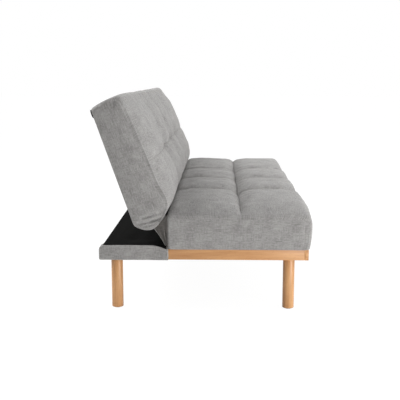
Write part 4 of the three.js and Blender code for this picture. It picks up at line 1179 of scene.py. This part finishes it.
# Hard pieces, floor, light and camera
def dress_nodes():
    """Gives each node that stays its own finish, with smooth round faces and slightly eased edges."""
    finishes = {
        "rail_wood": RAIL_WOODS[0], "leg_wood": RAIL_WOODS[2], "frame_wood": PINE,
        "black_lining": BLACK_LINING, "hinge_steel": HINGE_STEEL, "spring_steel": SPRING_STEEL,
        "glide_felt": FELT, "cloth": GREY_CLOTH,
    }
    special = {"side_rail_left": RAIL_WOODS[1], "side_rail_right": RAIL_WOODS[1]}
    slots = {row["node"]: row["material_slot"] for row in frame["record"]["subparts"]}
    for name, node in frame["nodes"].items():
        node.data.materials.clear()
        node.data.materials.append(special.get(name, finishes[slots[name]]))
        for polygon in node.data.polygons:
            polygon.use_smooth = True
        join = node.modifiers.new("join", "WELD")
        join.merge_threshold = SAME_PLACE
        ease = node.modifiers.new("ease", "BEVEL")
        ease.width = EDGE_EASE
        ease.segments = 2
        ease.limit_method = "ANGLE"
        ease.angle_limit = math.radians(35)
        ease.harden_normals = True


def floor():
    """A plain white floor that runs into the background, with the sofa's soft shadow on it."""
    bpy.ops.mesh.primitive_plane_add(size=FLOOR_SIZE)
    plane = bpy.context.object
    plane.name = "floor"
    t = Tree(bpy.data.materials.new("floor"))
    t.set(Base_Color=(0.9, 0.9, 0.9, 1), Roughness=0.9)
    t.show(t.add("Emission", Color=WHITE, Strength=FLOOR_GLOW), FLOOR_GLOW_SHARE, "Material Output")
    plane.data.materials.append(t.owner)


WHITE = (1, 1, 1, 1)
FLOOR_SIZE = 60
FLOOR_GLOW = 1.07
FLOOR_GLOW_SHARE = 0.9  # of what the camera sees of it. The rest keeps the shadow.
AMBIENT = 0.38
# Lamps: place, what each aims at, size and power
LAMPS = {
    "key": ((-0.6, -3.3, 1.7), (0.1, 0, 0.4), 2.2, 50),
    "near": ((-2.5, -1.8, 0.3), (-0.9, -0.25, 0.3), 1.0, 38),
    "sky": ((0.0, 2.4, 2.65), (0, -0.2, 0.4), 2.0, 108),
    "far": ((2.2, -1.4, 1.7), (0, -0.1, 0.4), 1.6, 33),
}


def aimed(name, data, place, way):
    """A camera or a lamp at a place, which looks along a way."""
    holder = bpy.data.objects.new(name, data)
    holder.location = place
    holder.rotation_euler = Vector(way).to_track_quat("-Z", "Y").to_euler()
    bpy.context.scene.collection.objects.link(holder)
    return holder


def light():
    """A pale studio: even light all round, and large soft lamps in front, at both ends and above."""
    world = bpy.data.worlds.new("studio")
    bpy.context.scene.world = world
    t = Tree(world, "Background")
    t.set(Color=WHITE, Strength=AMBIENT)
    t.show(t.add("Background", Color=WHITE), 1.0, "World Output")
    for name, (place, target, size, watts) in LAMPS.items():
        lamp = bpy.data.lights.new(name, "AREA")
        lamp.energy, lamp.size = watts, size
        aimed(name, lamp, place, Vector(target) - Vector(place))


def camera():
    data = bpy.data.cameras.new("camera")
    data.lens = LENS
    data.sensor_width = SENSOR_WIDTH
    pitch, yaw = math.radians(CAMERA_PITCH), math.radians(CAMERA_YAW)
    way = (math.cos(pitch) * math.cos(yaw), math.cos(pitch) * math.sin(yaw), -math.sin(pitch))
    bpy.context.scene.camera = aimed("camera", data, CAMERA_PLACE, way)


bpy.context.scene.view_settings.view_transform = "Standard"
camera()
light()
floor()
dress_nodes()
seat_cover()
back_cover()
rear_wraps()
rear_lining()
lining_and_shade_flaps()
dust_cover()
rear_panel()
gap_cloth()
